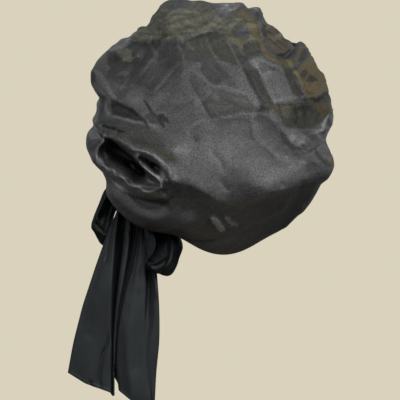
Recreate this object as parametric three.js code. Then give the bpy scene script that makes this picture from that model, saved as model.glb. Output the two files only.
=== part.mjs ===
// A satin sleep bonnet as it sits on a head, with the head left out: a large, loose, gathered crown that
// sags behind the neck, a doubled head band, and two wide ties made into a bow low on the left side.
//
// Millimetres. +Z is up, +Y is where the wearer faces and +X is the wearer's right. The origin is the
// centre of the head band's loop, which is where the middle of the head sits.

import * as THREE from "three";
import { mergeVertices } from "three/addons/utils/BufferGeometryUtils.js";

// ---------------------------------------------------------------------------------------------------
// Driving dimensions
// ---------------------------------------------------------------------------------------------------

const WALL = 1.6; // two layers of satin and the air between them
const BAND_WALL = 2.4; // the band is folded over itself
const SEAM_GAP = 0.5; // between sewn pieces that meet

const BAND_HALF_WIDTH = 80; // ear to ear
const BAND_HALF_LENGTH = 92; // nape to forehead, measured level
const BAND_HALF_RISE = 50; // the loop climbs this far from its centre to the forehead
const BAND_DEPTH = 50; // height of the band's cloth
const BAND_SWELL = 2; // how far the middle of the band stands proud of its edges

const CROWN_RADIUS = 133; // of the outline, seen from behind
const CROWN_CENTRE_Z = 35;
const SAG = { x: 12, y: -163, z: -24 }; // the point that hangs furthest back
const RIM_Y = -58; // depth of the widest ring, on average
const RIM_TILT = 52; // the ring leans forward at the top and back at the nape
const RIM_NAPE_BACK = 4; // extra, so that the pouch hangs clear behind the nape

const GATHERS = 21; // pleats sewn into the band
const GATHER_HEIGHT = 4.5;
const FOLD_STEPS = 12; // straight stretches in each fold's line

const KNOT = { x: -72, y: -71, z: -47, width: 26, depth: 26, height: 28 };

// Swellings and notches of the crown's outline, by their angle round it from the wearer's right.
const PUFFS = [
  { name: "nape", at: 278, spread: 13, rise: 6 },
  { name: "over_the_bow", at: 251, spread: 12, rise: -10 },
  { name: "below_lower_roll", at: 204, spread: 6, rise: -4 },
  { name: "pocket_roll", at: 186, spread: 9, rise: 5 },
  { name: "above_pocket", at: 173, spread: 7, rise: -14 },
  { name: "left_shoulder", at: 155, spread: 13, rise: 13 },
  { name: "left_dip", at: 124, spread: 6, rise: -4 },
  { name: "top_left", at: 109, spread: 9, rise: 11 },
  { name: "top_right", at: 73, spread: 9, rise: 4 },
  { name: "right_notch", at: 55, spread: 7, rise: -6 },
  { name: "right_dip", at: 354, spread: 6, rise: -6 },
  { name: "right_tip", at: 339, spread: 5, rise: 3 },
];

// Folds of the crown's back. Each runs from one point to another, drawn towards the bend point, in the
// plane across the wearer's back. rise is along the cloth's normal and is negative for a hollow.
const FOLDS = [
  { name: "pocket", from: [-118, 20], bend: [-95, 9], to: [-62, -14], spread: 13, rise: -38 },
  { name: "pocket_brow", from: [-136, 50], bend: [-86, 36], to: [-42, -6], spread: 12, rise: 9 },
  { name: "pocket_roll", from: [-124, 2], bend: [-98, -28], to: [-50, -29], spread: 12, rise: 10 },
  { name: "under_roll", from: [-124, -18], bend: [-90, -54], to: [-54, -44], spread: 10, rise: -11 },
  { name: "bottom_roll", from: [-124, -40], bend: [-88, -66], to: [-30, -84], spread: 14, rise: 5 },
  { name: "upper_crease", from: [-132, 70], bend: [-98, 66], to: [-62, 44], spread: 10, rise: -7 },
  { name: "crest", from: [-58, -18], bend: [12, -52], to: [84, -22], spread: 18, rise: 7 },
  { name: "crest_end", from: [74, -24], bend: [110, -12], to: [146, -18], spread: 14, rise: 7 },
  { name: "ear_hollow", from: [92, 150], bend: [58, 118], to: [98, 104], spread: 12, rise: -9 },
  { name: "ear", from: [88, 104], bend: [104, 108], to: [116, 120], spread: 12, rise: 5 },
  { name: "top_roll", from: [62, 160], bend: [60, 142], to: [56, 118], spread: 12, rise: 5 },
  { name: "right_crease", from: [44, 62], bend: [84, 56], to: [132, 66], spread: 11, rise: -5 },
  { name: "right_pucker", from: [150, 24], bend: [118, 26], to: [90, 12], spread: 11, rise: -6 },
  { name: "diagonal", from: [30, 92], bend: [48, 56], to: [66, 36], spread: 13, rise: -5 },
];

// ---------------------------------------------------------------------------------------------------
// Cloth as a closed solid
// ---------------------------------------------------------------------------------------------------

const vec = (x, y, z) => new THREE.Vector3(x, y, z);
const degrees = THREE.MathUtils.degToRad;
const smoothstep = THREE.MathUtils.smoothstep;
const lerp = THREE.MathUtils.lerp;

// Turns a surface into cloth of the given wall. point(across, along) gives its middle or outer face, and
// both arguments run from 0 to 1. wrap joins the last column to the first, and pole makes the first row
// a single point. inset is the share of the wall that lies inside the surface.
function cloth(point, { columns, rows, wall, wrap = false, pole = false, inset = 0.5 }) {
  const count = columns.length;
  const grid = rows.map((along) => columns.map((c) => point(c, along)));

  const at = (row, column) => {
    const c = wrap ? (column + count) % count : THREE.MathUtils.clamp(column, 0, count - 1);
    return grid[THREE.MathUtils.clamp(row, 0, rows.length - 1)][c];
  };
  const normalAt = (row, column) => {
    const sideways = at(row, column + 1).clone().sub(at(row, column - 1));
    const onward = at(row + 1, column).clone().sub(at(row - 1, column));
    return onward.cross(sideways).normalize();
  };

  const positions = [];
  const push = (p) => positions.push(p.x, p.y, p.z) / 3 - 1;
  const outer = [];
  const inner = [];
  grid.forEach((line, row) => {
    if (pole && row === 0) {
      const normal = line.reduce((sum, _, column) => sum.add(normalAt(1, column)), vec(0, 0, 0));
      normal.normalize();
      outer.push(push(line[0].clone().addScaledVector(normal, wall * (1 - inset))));
      inner.push(push(line[0].clone().addScaledVector(normal, -wall * inset)));
      return;
    }
    const normals = line.map((_, column) => normalAt(row, column));
    outer.push(line.map((p, i) => push(p.clone().addScaledVector(normals[i], wall * (1 - inset)))));
    inner.push(line.map((p, i) => push(p.clone().addScaledVector(normals[i], -wall * inset))));
  });

  const index = [];
  const quad = (a, b, c, d) => index.push(a, c, b, a, d, c);
  const spread = (a, b) => Math.hypot(...[0, 1, 2].map((k) => positions[3 * a + k] - positions[3 * b + k]));
  const last = rows.length - 1;
  const spans = wrap ? count : count - 1;
  for (let i = 0; i < spans; i++) {
    const j = (i + 1) % count;
    for (let row = 0; row < last; row++) {
      if (pole && row === 0) {
        index.push(outer[0], outer[1][i], outer[1][j]);
        index.push(inner[0], inner[1][j], inner[1][i]);
        continue;
      }
      const skin = (face) => [face[row][i], face[row][j], face[row + 1][j], face[row + 1][i]];
      const [a, b, c, d] = skin(outer);
      const [e, f, g, h] = skin(inner);
      if (spread(a, c) <= spread(b, d)) {
        quad(a, b, c, d);
        quad(e, h, g, f);
      } else {
        quad(b, c, d, a);
        quad(f, e, h, g);
      }
    }
    if (!pole) quad(outer[0][j], outer[0][i], inner[0][i], inner[0][j]);
    quad(outer[last][i], outer[last][j], inner[last][j], inner[last][i]);
  }
  if (!wrap) {
    for (let row = 0; row < last; row++) {
      quad(outer[row][0], outer[row + 1][0], inner[row + 1][0], inner[row][0]);
      const end = count - 1;
      quad(outer[row + 1][end], outer[row][end], inner[row][end], inner[row + 1][end]);
    }
  }
  const geometry = new THREE.BufferGeometry();
  geometry.setAttribute("position", new THREE.Float32BufferAttribute(positions, 3));
  geometry.setIndex(index);
  geometry.computeVertexNormals();
  return geometry;
}

const steps = (count) => Array.from({ length: count + 1 }, (_, i) => i / count);
const around = (count) => Array.from({ length: count }, (_, i) => i / count);

// ---------------------------------------------------------------------------------------------------
// Head band
// ---------------------------------------------------------------------------------------------------

const loopReach = Math.hypot(BAND_HALF_LENGTH, BAND_HALF_RISE);
const loopForward = vec(0, BAND_HALF_LENGTH / loopReach, BAND_HALF_RISE / loopReach);
const loopUp = vec(0, -BAND_HALF_RISE / loopReach, BAND_HALF_LENGTH / loopReach);

// A point of the band's loop, and the way straight out of it, at an angle from the wearer's right.
function bandLoop(angle) {
  const c = Math.cos(angle);
  const s = Math.sin(angle);
  const place = vec(BAND_HALF_WIDTH * c, 0, 0).addScaledVector(loopForward, loopReach * s);
  const out = vec(c / BAND_HALF_WIDTH, 0, 0).addScaledVector(loopForward, s / loopReach).normalize();
  return { place, out };
}

function headBand() {
  const surface = (across, along) => {
    const { place, out } = bandLoop(2 * Math.PI * across);
    const height = lerp(BAND_DEPTH / 2, -BAND_DEPTH / 2, along);
    const swell = BAND_SWELL * (1 - (2 * along - 1) ** 2);
    return place.addScaledVector(loopUp, height).addScaledVector(out, swell);
  };
  return cloth(surface, { columns: around(72), rows: steps(4), wall: BAND_WALL, wrap: true });
}

// ---------------------------------------------------------------------------------------------------
// Crown
// ---------------------------------------------------------------------------------------------------

// How far round from one angle to another, in degrees, at most 180.
const turnBetween = (a, b) => Math.abs(((a - b + 540) % 360) - 180);

// The puffs are full on the widest ring and die away from it both ways.
function outlineRadius(angle, along) {
  const turned = THREE.MathUtils.radToDeg(angle);
  const share = smoothstep(along, 0.12, 0.46) * (1 - smoothstep(along, 0.6, 0.95));
  const puff = ({ at, spread, rise }) => rise * Math.exp(-((turnBetween(turned, at) / spread) ** 2));
  return PUFFS.reduce((radius, row) => radius + share * puff(row), CROWN_RADIUS);
}

// The crown's smooth form. along runs from the point of sag, over the widest ring at a half, to the hem.
function crownForm(across, along) {
  const angle = 2 * Math.PI * across;
  const radius = outlineRadius(angle, along);
  const rim = vec(
    radius * Math.cos(angle),
    RIM_Y + RIM_TILT * Math.sin(angle) - RIM_NAPE_BACK * smoothstep(-Math.sin(angle), 0.3, 1),
    CROWN_CENTRE_Z + radius * Math.sin(angle),
  );
  if (along <= 0.5) {
    const turn = Math.PI * along;
    const spread = Math.sin(turn);
    return vec(
      lerp(SAG.x, rim.x, spread),
      lerp(rim.y, SAG.y, Math.cos(turn) ** 1.12),
      lerp(SAG.z, rim.z, spread),
    );
  }
  const turn = Math.PI * (along - 0.5);
  const { place, out } = bandLoop(angle);
  const behindNape = smoothstep(-Math.sin(angle), 0, 0.5);
  const hem = place
    .addScaledVector(loopUp, BAND_DEPTH / 2 + SEAM_GAP)
    .addScaledVector(out, (BAND_WALL / 2 + BAND_SWELL) * behindNape);
  return vec(
    lerp(hem.x, rim.x, Math.cos(turn)),
    lerp(rim.y, hem.y, Math.sin(turn)),
    lerp(hem.z, rim.z, Math.cos(turn)),
  );
}

// Distance in the plane from a place to the stretch between two points.
function distanceTo([x, z], [ax, az], [bx, bz]) {
  const along = ((x - ax) * (bx - ax) + (z - az) * (bz - az)) / ((bx - ax) ** 2 + (bz - az) ** 2);
  const t = THREE.MathUtils.clamp(along, 0, 1);
  return Math.hypot(x - lerp(ax, bx, t), z - lerp(az, bz, t));
}

const foldLines = FOLDS.map(({ from, bend, to }) => {
  const bow = (k, t) => (1 - t) ** 2 * from[k] + 2 * t * (1 - t) * bend[k] + t * t * to[k];
  return steps(FOLD_STEPS).map((t) => [bow(0, t), bow(1, t)]);
});

// The folds' height at a place across the wearer's back.
function foldRise(x, z) {
  return FOLDS.reduce((sum, { spread, rise }, i) => {
    const line = foldLines[i];
    const distances = line.slice(1).map((end, k) => distanceTo([x, z], line[k], end));
    return sum + rise * Math.exp(-((Math.min(...distances) / spread) ** 2));
  }, 0);
}

function crown() {
  const NUDGE = 1e-3;
  const surface = (across, along) => {
    const place = crownForm(across, along);
    const safe = THREE.MathUtils.clamp(along, 0.02, 0.999 - NUDGE);
    const sideways = crownForm(across + NUDGE, safe).sub(crownForm(across - NUDGE, safe));
    const onward = crownForm(across, safe + NUDGE).sub(crownForm(across, safe - NUDGE));
    const normal = onward.cross(sideways).normalize();
    const onBack = 1 - smoothstep(along, 0.5, 0.72);
    const gathered = smoothstep(along, 0.55, 0.92) * (1 - smoothstep(along, 0.95, 1));
    const gather = (-GATHER_HEIGHT * gathered * (1 + Math.cos(2 * Math.PI * GATHERS * across))) / 2;
    return place.addScaledVector(normal, onBack * foldRise(place.x, place.z) + gather);
  };
  const back = [0, 0.05, 0.1, 0.15, 0.19, 0.23, 0.27, 0.31, 0.35, 0.39, 0.43, 0.47, 0.5];
  const front = [0.57, 0.65, 0.74, 0.83, 0.91, 0.96, 1];
  return cloth(surface, {
    columns: around(4 * GATHERS),
    rows: [...back, ...front],
    wall: WALL,
    wrap: true,
    pole: true,
    inset: 1,
  });
}

// ---------------------------------------------------------------------------------------------------
// Bow: knot, loops and tails
// ---------------------------------------------------------------------------------------------------

// The knot is the tie wrapped tightly round itself, so its faces show the turns as soft ridges.
function knot() {
  const shape = new THREE.SphereGeometry(1, 20, 14);
  shape.deleteAttribute("normal");
  shape.deleteAttribute("uv");
  const closed = mergeVertices(shape, 1e-4);
  const place = closed.getAttribute("position");
  for (let i = 0; i < place.count; i++) {
    const p = vec().fromBufferAttribute(place, i);
    const turns = 1 + 0.07 * Math.cos(7 * p.z + 2.2 * p.x);
    const square = 1 / Math.max(0.86, Math.max(Math.abs(p.x), Math.abs(p.y), Math.abs(p.z)));
    p.multiplyScalar(turns * Math.min(square, 1.12));
    place.setXYZ(i, (p.x * KNOT.width) / 2, (p.y * KNOT.depth) / 2, (p.z * KNOT.height) / 2);
  }
  closed.computeVertexNormals();
  return closed;
}

// A ribbon swept down a table of sections. x, y and z are the middle of each section, width is what shows
// of it, pleat is how deep its pleats fold, and turn swings it round the vertical.
function ribbon(sections, { pleats, phase, slant = 0, columns = 12, rows = 16 }) {
  const curve = (key) => {
    const points = sections.map((s, i) => vec(i, s[key], 0));
    const line = new THREE.CatmullRomCurve3(points, false, "centripetal");
    return (t) => line.getPoint(t).y;
  };
  const [x, y, z, width, pleat, turn] = ["x", "y", "z", "width", "pleat", "turn"].map(curve);
  const surface = (across, along) => {
    const side = across - 0.5;
    const wave = pleat(along) * Math.cos(2 * Math.PI * (pleats * across + phase));
    const swing = degrees(turn(along));
    const sideways = vec(Math.cos(swing), Math.sin(swing), 0);
    const outward = vec(Math.sin(swing), -Math.cos(swing), 0);
    return vec(x(along), y(along), z(along) + slant * side * smoothstep(along, 0.6, 1))
      .addScaledVector(sideways, side * width(along))
      .addScaledVector(outward, wave);
  };
  return cloth(surface, { columns: steps(columns), rows: steps(rows), wall: WALL });
}

const LEFT_TAIL = [
  { x: -83, y: -74, z: -64, width: 18, pleat: 4, turn: -10 },
  { x: -99, y: -82, z: -97, width: 33, pleat: 5, turn: -10 },
  { x: -112, y: -89, z: -136, width: 33, pleat: 5, turn: -6 },
  { x: -123, y: -93, z: -186, width: 40, pleat: 3.5, turn: -3 },
  { x: -130, y: -101, z: -244, width: 47, pleat: 3, turn: 0 },
];

const RIGHT_TAIL = [
  { x: -67, y: -67, z: -63, width: 14, pleat: 3, turn: 4 },
  { x: -74, y: -68, z: -97, width: 24, pleat: 5, turn: 4 },
  { x: -75, y: -77, z: -136, width: 35, pleat: 5, turn: 6 },
  { x: -79, y: -92, z: -190, width: 46, pleat: 3.5, turn: 4 },
  { x: -79, y: -104, z: -260, width: 38, pleat: 4, turn: 4 },
];

const leftTail = () => ribbon(LEFT_TAIL, { pleats: 2, phase: 0.1, slant: -26 });
const rightTail = () => ribbon(RIGHT_TAIL, { pleats: 2, phase: 0.35, slant: -22 });

// A bow loop leaves the knot, turns back at its tip and returns. The path is a closed drop shape.
function bowLoop({ from, tip, belly, width, pinch, facing }) {
  const start = vec(...from);
  const reach = vec(...tip).sub(start);
  const long = reach.length();
  const onward = reach.clone().normalize();
  const sideways = vec(...facing).normalize();
  const outward = onward.clone().cross(sideways).normalize();
  const surface = (across, along) => {
    const turn = lerp(0.14, 0.86, along) * 2 * Math.PI;
    const away = (1 - Math.cos(turn)) / 2;
    const apart = belly * Math.sin(turn) * Math.sin(turn / 2) ** 1.2;
    const open = lerp(pinch, width, smoothstep(away, 0.05, 0.75));
    const ripple = 2 * (1 - away) * Math.cos(6 * Math.PI * across);
    return start
      .clone()
      .addScaledVector(onward, long * away)
      .addScaledVector(outward, apart + ripple * Math.sign(Math.sin(turn)) * smoothstep(1 - away, 0, 0.4))
      .addScaledVector(sideways, open * (across - 0.5));
  };
  return cloth(surface, { columns: steps(6), rows: steps(28), wall: WALL });
}

const LEFT_LOOP = {
  from: [-80, -67, -45],
  tip: [-128, -42, -72],
  belly: 11,
  width: 50,
  pinch: 16,
  facing: [0.05, 0.15, 1],
};

const RIGHT_LOOP = {
  from: [-66, -79, -50],
  tip: [-46, -95, -127],
  belly: 15,
  width: 40,
  pinch: 16,
  facing: [0.9, 0.1, 0.25],
};

// ---------------------------------------------------------------------------------------------------
// Assembly
// ---------------------------------------------------------------------------------------------------

const crownSatin = new THREE.MeshStandardMaterial({ color: 0x3c3c3a, roughness: 0.42, metalness: 0 });
const tieSatin = new THREE.MeshStandardMaterial({ color: 0x222627, roughness: 0.48, metalness: 0 });

const bonnet = new THREE.Group();
bonnet.name = "satin_bonnet";

function add(name, geometry, material, parent = bonnet) {
  const mesh = new THREE.Mesh(geometry, material);
  mesh.name = name;
  parent.add(mesh);
  return mesh;
}

add("crown", crown(), crownSatin);
add("head_band", headBand(), tieSatin);

const bow = new THREE.Group();
bow.name = "bow";
bonnet.add(bow);
add("tie_knot", knot(), tieSatin, bow).position.set(KNOT.x, KNOT.y, KNOT.z);
add("bow_loop_left", bowLoop(LEFT_LOOP), tieSatin, bow);
add("bow_loop_right", bowLoop(RIGHT_LOOP), tieSatin, bow);
add("tie_tail_left", leftTail(), tieSatin, bow);
add("tie_tail_right", rightTail(), tieSatin, bow);

export default bonnet;
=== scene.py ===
# %% [markdown]
# # A satin sleep bonnet
#
# A sleep bonnet is a big round of satin gathered on to a head band. The band's two ends run on into
# wide ties. This one is shown as it sits on a head, with the head left out: the loose crown sags behind
# the nape in soft rolls, and the ties make a bow low on the wearer's left.
#
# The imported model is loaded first. It says where each piece goes, in metres: +Z is up, +Y is where the
# wearer faces and +X is the wearer's right. Nothing here moves or resizes it.

# %% Load the frame
import math

import bpy
import numpy as np
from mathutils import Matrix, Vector


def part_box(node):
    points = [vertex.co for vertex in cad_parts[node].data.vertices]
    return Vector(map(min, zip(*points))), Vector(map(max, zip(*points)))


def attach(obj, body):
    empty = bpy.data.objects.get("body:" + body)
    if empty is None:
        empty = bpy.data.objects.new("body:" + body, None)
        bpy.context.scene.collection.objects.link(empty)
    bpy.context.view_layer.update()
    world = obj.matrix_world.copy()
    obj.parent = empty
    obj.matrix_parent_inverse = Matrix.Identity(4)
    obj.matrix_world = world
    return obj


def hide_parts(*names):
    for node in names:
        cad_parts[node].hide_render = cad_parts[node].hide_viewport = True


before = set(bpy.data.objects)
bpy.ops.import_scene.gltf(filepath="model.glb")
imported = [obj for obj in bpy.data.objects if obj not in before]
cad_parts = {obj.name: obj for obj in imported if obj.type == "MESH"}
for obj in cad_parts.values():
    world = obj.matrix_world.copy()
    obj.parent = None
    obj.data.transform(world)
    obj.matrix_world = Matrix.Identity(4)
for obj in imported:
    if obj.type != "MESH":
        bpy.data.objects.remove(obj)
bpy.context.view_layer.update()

MM = 0.001

# %% [markdown]
# ## Camera
#
# The bonnet is looked at from behind the wearer and a little above. A wide lens close up would swell the
# crown and shrink the ties, so this is a long lens from a metre and a half away. It could be set by eye,
# but here the width of the strip to be shown gives the lens, and the crown's box gives the aim.

# %% Place the camera
CAMERA_DISTANCE = 1.5
CAMERA_ELEVATION = math.radians(4)
VIEW_WIDTH = 0.432
VIEW_SHIFT = (-0.0109, -0.0255, -0.0046)  # from the crown's middle, and from a strip that starts at its top

crown_low, crown_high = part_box("crown")
view_centre = Vector((
    (crown_low[0] + crown_high[0]) / 2 + VIEW_SHIFT[0],
    (crown_low[1] + crown_high[1]) / 2 + VIEW_SHIFT[1],
    crown_high[2] - VIEW_WIDTH / 2 + VIEW_SHIFT[2],
))
away = Vector((0, -math.cos(CAMERA_ELEVATION), math.sin(CAMERA_ELEVATION)))

lens = bpy.data.cameras.new("camera")
lens.sensor_width = 36
lens.lens = lens.sensor_width * CAMERA_DISTANCE / VIEW_WIDTH
camera = bpy.data.objects.new("camera", lens)
bpy.context.collection.objects.link(camera)
bpy.context.scene.camera = camera
camera.location = view_centre + CAMERA_DISTANCE * away
camera.rotation_euler = (-away).to_track_quat("-Z", "Y").to_euler()
print(f"lens {lens.lens:.0f} mm, view centre, mm:", [round(v / MM, 1) for v in view_centre])

# %% [markdown]
# ## Number helpers
#
# Cloth could be pushed about with modifiers, but it is easier to shape as a grid of points held in a NumPy
# array. Each helper works on the whole grid at once, so even a fine grid takes a moment. All shapes are
# worked out in millimetres and turned into metres when the mesh is made.

# %% Helpers for shapes
TINY = 1e-9  # stands in for a length of nothing, so that it can be divided by


def smoothstep(x, low, high):
    """0 below low and 1 above high, with a smooth rise between them."""
    t = np.clip((x - low) / (high - low), 0, 1)
    return t * t * (3 - 2 * t)


def between(x, start, full, fade, end):
    """1 from full to fade, with a smooth rise before them and a smooth fall after."""
    return smoothstep(x, start, full) * (1 - smoothstep(x, fade, end))


def mix(a, b, share):
    return a + (b - a) * share


def unit(vectors):
    return vectors / np.maximum(np.linalg.norm(vectors, axis=-1, keepdims=True), TINY)


def grid_normals(points, wrap):
    """Unit normals of a grid of points. Rows run onward and columns sideways."""
    onward = np.gradient(points, axis=0)
    if wrap:
        sideways = np.roll(points, -1, 1) - np.roll(points, 1, 1)
    else:
        sideways = np.gradient(points, axis=1)
    return unit(np.cross(onward, sideways))


# %% [markdown]
# A grid becomes a mesh by joining neighbouring points into four-sided faces. A piece that wraps round has
# its last column joined to its first. What changes over the cloth, such as its painted light and shade, is
# kept with the mesh as a number at each point, so it stays on the cloth from wherever the piece is looked at.

# %% Helpers for meshes
def grid_faces(rows, columns, wrap, flip=False, start=0):
    """Faces of a grid, as an array of four corner numbers each."""
    r = np.arange(rows - 1)[:, None]
    c = np.arange(columns if wrap else columns - 1)[None, :]
    d = (c + 1) % columns
    corners = [r * columns + c, r * columns + d, (r + 1) * columns + d, (r + 1) * columns + c]
    faces = np.stack([np.broadcast_to(k, (rows - 1, c.shape[1])) for k in corners], 2).reshape(-1, 4)
    return start + (faces[:, ::-1] if flip else faces)


def make_mesh(name, points, faces):
    """A smooth-shaded object from points in millimetres and a list of faces."""
    mesh = bpy.data.meshes.new(name)
    mesh.from_pydata((np.asarray(points) * MM).tolist(), [], [list(map(int, f)) for f in faces])
    mesh.polygons.foreach_set("use_smooth", [True] * len(mesh.polygons))
    mesh.update()
    piece = bpy.data.objects.new(name, mesh)
    bpy.context.collection.objects.link(piece)
    print(f"{name}: {len(mesh.vertices)} points, {sum(len(f) - 2 for f in faces)} triangles")
    return piece


def keep_with(piece, name, values):
    """Stores one number for each point of a mesh, for its material to read."""
    piece.data.attributes.new(name, "FLOAT", "POINT").data.foreach_set("value", values.astype(np.float32))


# %% [markdown]
# ## The crown's form
#
# The band's loop is a tilted oval, high on the forehead and low at the nape. From it the satin swells out
# to its widest ring, which is what shows as the outline from behind, and closes over the back at the point
# that sags furthest. A cloth simulation would drape a crown like this, but its folds would fall where they
# like. Here each line from the back point to the band is two quarter turns, and the outline is a circle
# with puffs and notches, so every swelling is in its place.

# %% Sizes of the crown, in millimetres and degrees
BAND_HALF_WIDTH = 80
BAND_HALF_LENGTH = 92
BAND_HALF_RISE = 50
BAND_DEPTH = 50
BAND_WALL = 2.4
CROWN_RADIUS = 133
CROWN_CENTRE_Z = 35
SAG = (12, -163, -24)
RIM_Y = -58
RIM_TILT = 52
RIM_NAPE_BACK = 4
BACK_ROUNDNESS = 1.12  # over 1 makes the pouch a little pointed
SEAM_GAP = 0.5  # between the crown's hem and the band's edge
NAPE_CLEARANCE = 2  # the hem stands this far off the band at the nape

# where the crown's outline swells, by the share of the way from the back point to the hem
PUFF_REACH = (0.12, 0.46, 0.6, 0.95)
NICK_REACH = (0.34, 0.48, 0.54, 0.7)

# name, angle from the wearer's right in degrees, spread in degrees, rise in millimetres
PUFFS = [
    ("nape", 278, 13, 6),
    ("over the bow", 251, 12, -10),
    ("below lower roll", 206, 6, -7),
    ("pocket roll", 189, 8, 6),
    ("above pocket", 174, 7, -8),
    ("left shoulder", 154, 11, 10),
    ("left dip", 126, 7, -9),
    ("top left", 109, 9, 10),
    ("top right", 71, 9, 5),
    ("right notch", 50, 6, -8),
    ("right side", 22, 12, -1.5),
    ("right dip", 353, 6, -8),
    ("right tip", 337, 5, 2),
]

# the same, for small nicks and bumps that only reach a little way in from the outline
NICKS = [
    ("right brow", 6, 2.5, -3.5),
    ("right shoulder", 22, 3, 2.8),
    ("ear's foot", 51, 2, 2.2),
    ("ear's back", 59.5, 3.4, -4.6),
    ("top corner", 65.6, 3, 3),
    ("beside the top corner", 71.3, 2.6, -6),
    ("top", 86, 8, -1.3),
    ("top left", 94.5, 3, 2),
    ("left shelf", 126.5, 1.8, 4),
    ("under the left shelf", 134, 2.8, -3.4),
    ("left shoulder", 155, 3, -1.8),
    ("left notch", 166.3, 3.2, -8),
    ("lobe", 186, 7, -2.6),
    ("lobe's foot", 200, 5, -5),
    ("nape right", 304, 5, 1.6),
    ("lower right", 319, 6, 1.4),
    ("tip's foot", 334, 5, -5.5),
    ("tip's top", 348, 5, -5.5),
]
print(f"{len(PUFFS)} puffs and {len(NICKS)} nicks in the outline")

# %% The band's loop and the crown's smooth form
loop_reach = math.hypot(BAND_HALF_LENGTH, BAND_HALF_RISE)
LOOP_FORWARD = np.array([0, BAND_HALF_LENGTH, BAND_HALF_RISE]) / loop_reach
LOOP_UP = np.array([0, -BAND_HALF_RISE, BAND_HALF_LENGTH]) / loop_reach
SIDEWAYS = np.array([1.0, 0, 0])


def band_loop(angle):
    """The band's middle line, and the way straight out of it, at angles from the wearer's right."""
    c, s = np.cos(angle)[..., None], np.sin(angle)[..., None]
    place = BAND_HALF_WIDTH * c * SIDEWAYS + loop_reach * s * LOOP_FORWARD
    out = c / BAND_HALF_WIDTH * SIDEWAYS + s / loop_reach * LOOP_FORWARD
    return place, unit(out)


def outline_radius(angle, along):
    """The crown's radius at angles round it, with the puffs and nicks that reach that far along."""
    radius = CROWN_RADIUS + 0 * angle
    for table, reach in ((PUFFS, PUFF_REACH), (NICKS, NICK_REACH)):
        share = between(along, *reach)
        for _, at, spread, rise in table:
            turn = np.abs((np.degrees(angle) - at + 540) % 360 - 180)
            radius = radius + share * rise * np.exp(-((turn / spread) ** 2))
    return radius


def crown_form(across, along):
    """The smooth crown. along is 0 at the back point, a half at the widest ring and 1 at the hem."""
    angle = 2 * np.pi * across
    radius = outline_radius(angle, along)
    back_lean = RIM_NAPE_BACK * smoothstep(-np.sin(angle), 0.3, 1)
    rim = np.stack([
        radius * np.cos(angle),
        RIM_Y + RIM_TILT * np.sin(angle) - back_lean,
        CROWN_CENTRE_Z + radius * np.sin(angle),
    ], -1)
    turn = np.pi * np.minimum(along, 0.5)
    spread, deep = np.sin(turn)[..., None], np.cos(turn) ** BACK_ROUNDNESS
    back = mix(np.array(SAG, float), rim, spread)
    back[..., 1] = mix(rim[..., 1], SAG[1], deep)

    turn = np.pi * np.maximum(along - 0.5, 0)
    place, out = band_loop(angle)
    behind_nape = smoothstep(-np.sin(angle), 0, 0.5)[..., None]
    hem = place + (BAND_DEPTH / 2 + SEAM_GAP) * LOOP_UP
    hem = hem + (BAND_WALL / 2 + NAPE_CLEARANCE) * behind_nape * out
    front = mix(hem, rim, np.cos(turn)[..., None])
    front[..., 1] = mix(rim[..., 1], hem[..., 1], np.sin(turn))
    return np.where((along <= 0.5)[..., None], back, front)


# %% [markdown]
# ## Folds
#
# Real folds could be sculpted by hand or left to a simulation. Here each is a row of a table, so it can be
# moved or made deeper by changing a number. A fold is a line drawn on the crown as seen from behind, with a
# height that dies away on both sides of it. A ridge has a positive rise and a hollow a negative one. The
# two sides may have different widths, which makes a fold lean. A low power gives a sharp crease and a high
# one gives steep sides.

# %% Lines that folds follow
def curve_through(points, steps=8):
    """A smooth line through points, as a Catmull-Rom curve."""
    p = np.array(points, float)
    if len(p) == 2:
        return p
    p = np.vstack([2 * p[0] - p[1], p, 2 * p[-1] - p[-2]])
    t = np.linspace(0, 1, steps, endpoint=False)[:, None]
    line = []
    for a, b, c, d in zip(p, p[1:], p[2:], p[3:]):
        square, cube = 2 * a - 5 * b + 4 * c - d, 3 * b - a - 3 * c + d
        line.append(0.5 * (2 * b + (c - a) * t + square * t**2 + cube * t**3))
    return np.vstack(line + [p[-2:-1]])


def near_line(x, z, line):
    """Distance to a line, which side it is on from -1 (right) to 1 (left), and how far along it."""
    best, side, share = np.full(x.shape, np.inf), np.zeros(x.shape), np.zeros(x.shape)
    lengths = np.linalg.norm(np.diff(line, axis=0), axis=1)
    done = np.concatenate([[0], np.cumsum(lengths)]) / lengths.sum()
    for k, (a, b) in enumerate(zip(line, line[1:])):
        d = b - a
        t = np.clip(((x - a[0]) * d[0] + (z - a[1]) * d[1]) / (d @ d), 0, 1)
        px, pz = x - a[0] - t * d[0], z - a[1] - t * d[1]
        distance = np.hypot(px, pz)
        closer = distance < best
        best = np.where(closer, distance, best)
        side = np.where(closer, (d[0] * pz - d[1] * px) / lengths[k] / np.maximum(distance, 1e-6), side)
        share = np.where(closer, mix(done[k], done[k + 1], t), share)
    return best, side, share


# %% A row of a fold table
STRAIGHT_BACK = np.array([0, -1.0, 0])
CREASE_POWER = 1.2


def fold(name, line, rise, left, right=None, power=2.0, taper=0.0, straight=0.4, ragged=0.0):
    """left and right are the widths of its sides, looking along its line. taper is the share of its length
    over which each end fades, and straight is how far it rises straight back instead of off the cloth."""
    return dict(name=name, line=curve_through(line), rise=rise, left=left, right=right or left,
                power=power, taper=taper, straight=straight, ragged=ragged)


def crease(name, line, rise, left, right=None, **more):
    """A fold with a sharp line."""
    return fold(name, line, rise, left, right, power=CREASE_POWER, **more)


# %% Shape folds into cloth
FOLD_REACH = 4  # a fold is worked out this many widths from its line
CREASE_ROUNDING = 0.5  # keeps the sharpest line a little round
TENT_BELOW = 1.25  # a power below this gives two flat slopes, like a tent
TENT_REACH = 1.7  # how many widths a tent's slopes cover
FOOT_ROUNDING = 0.12


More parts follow.
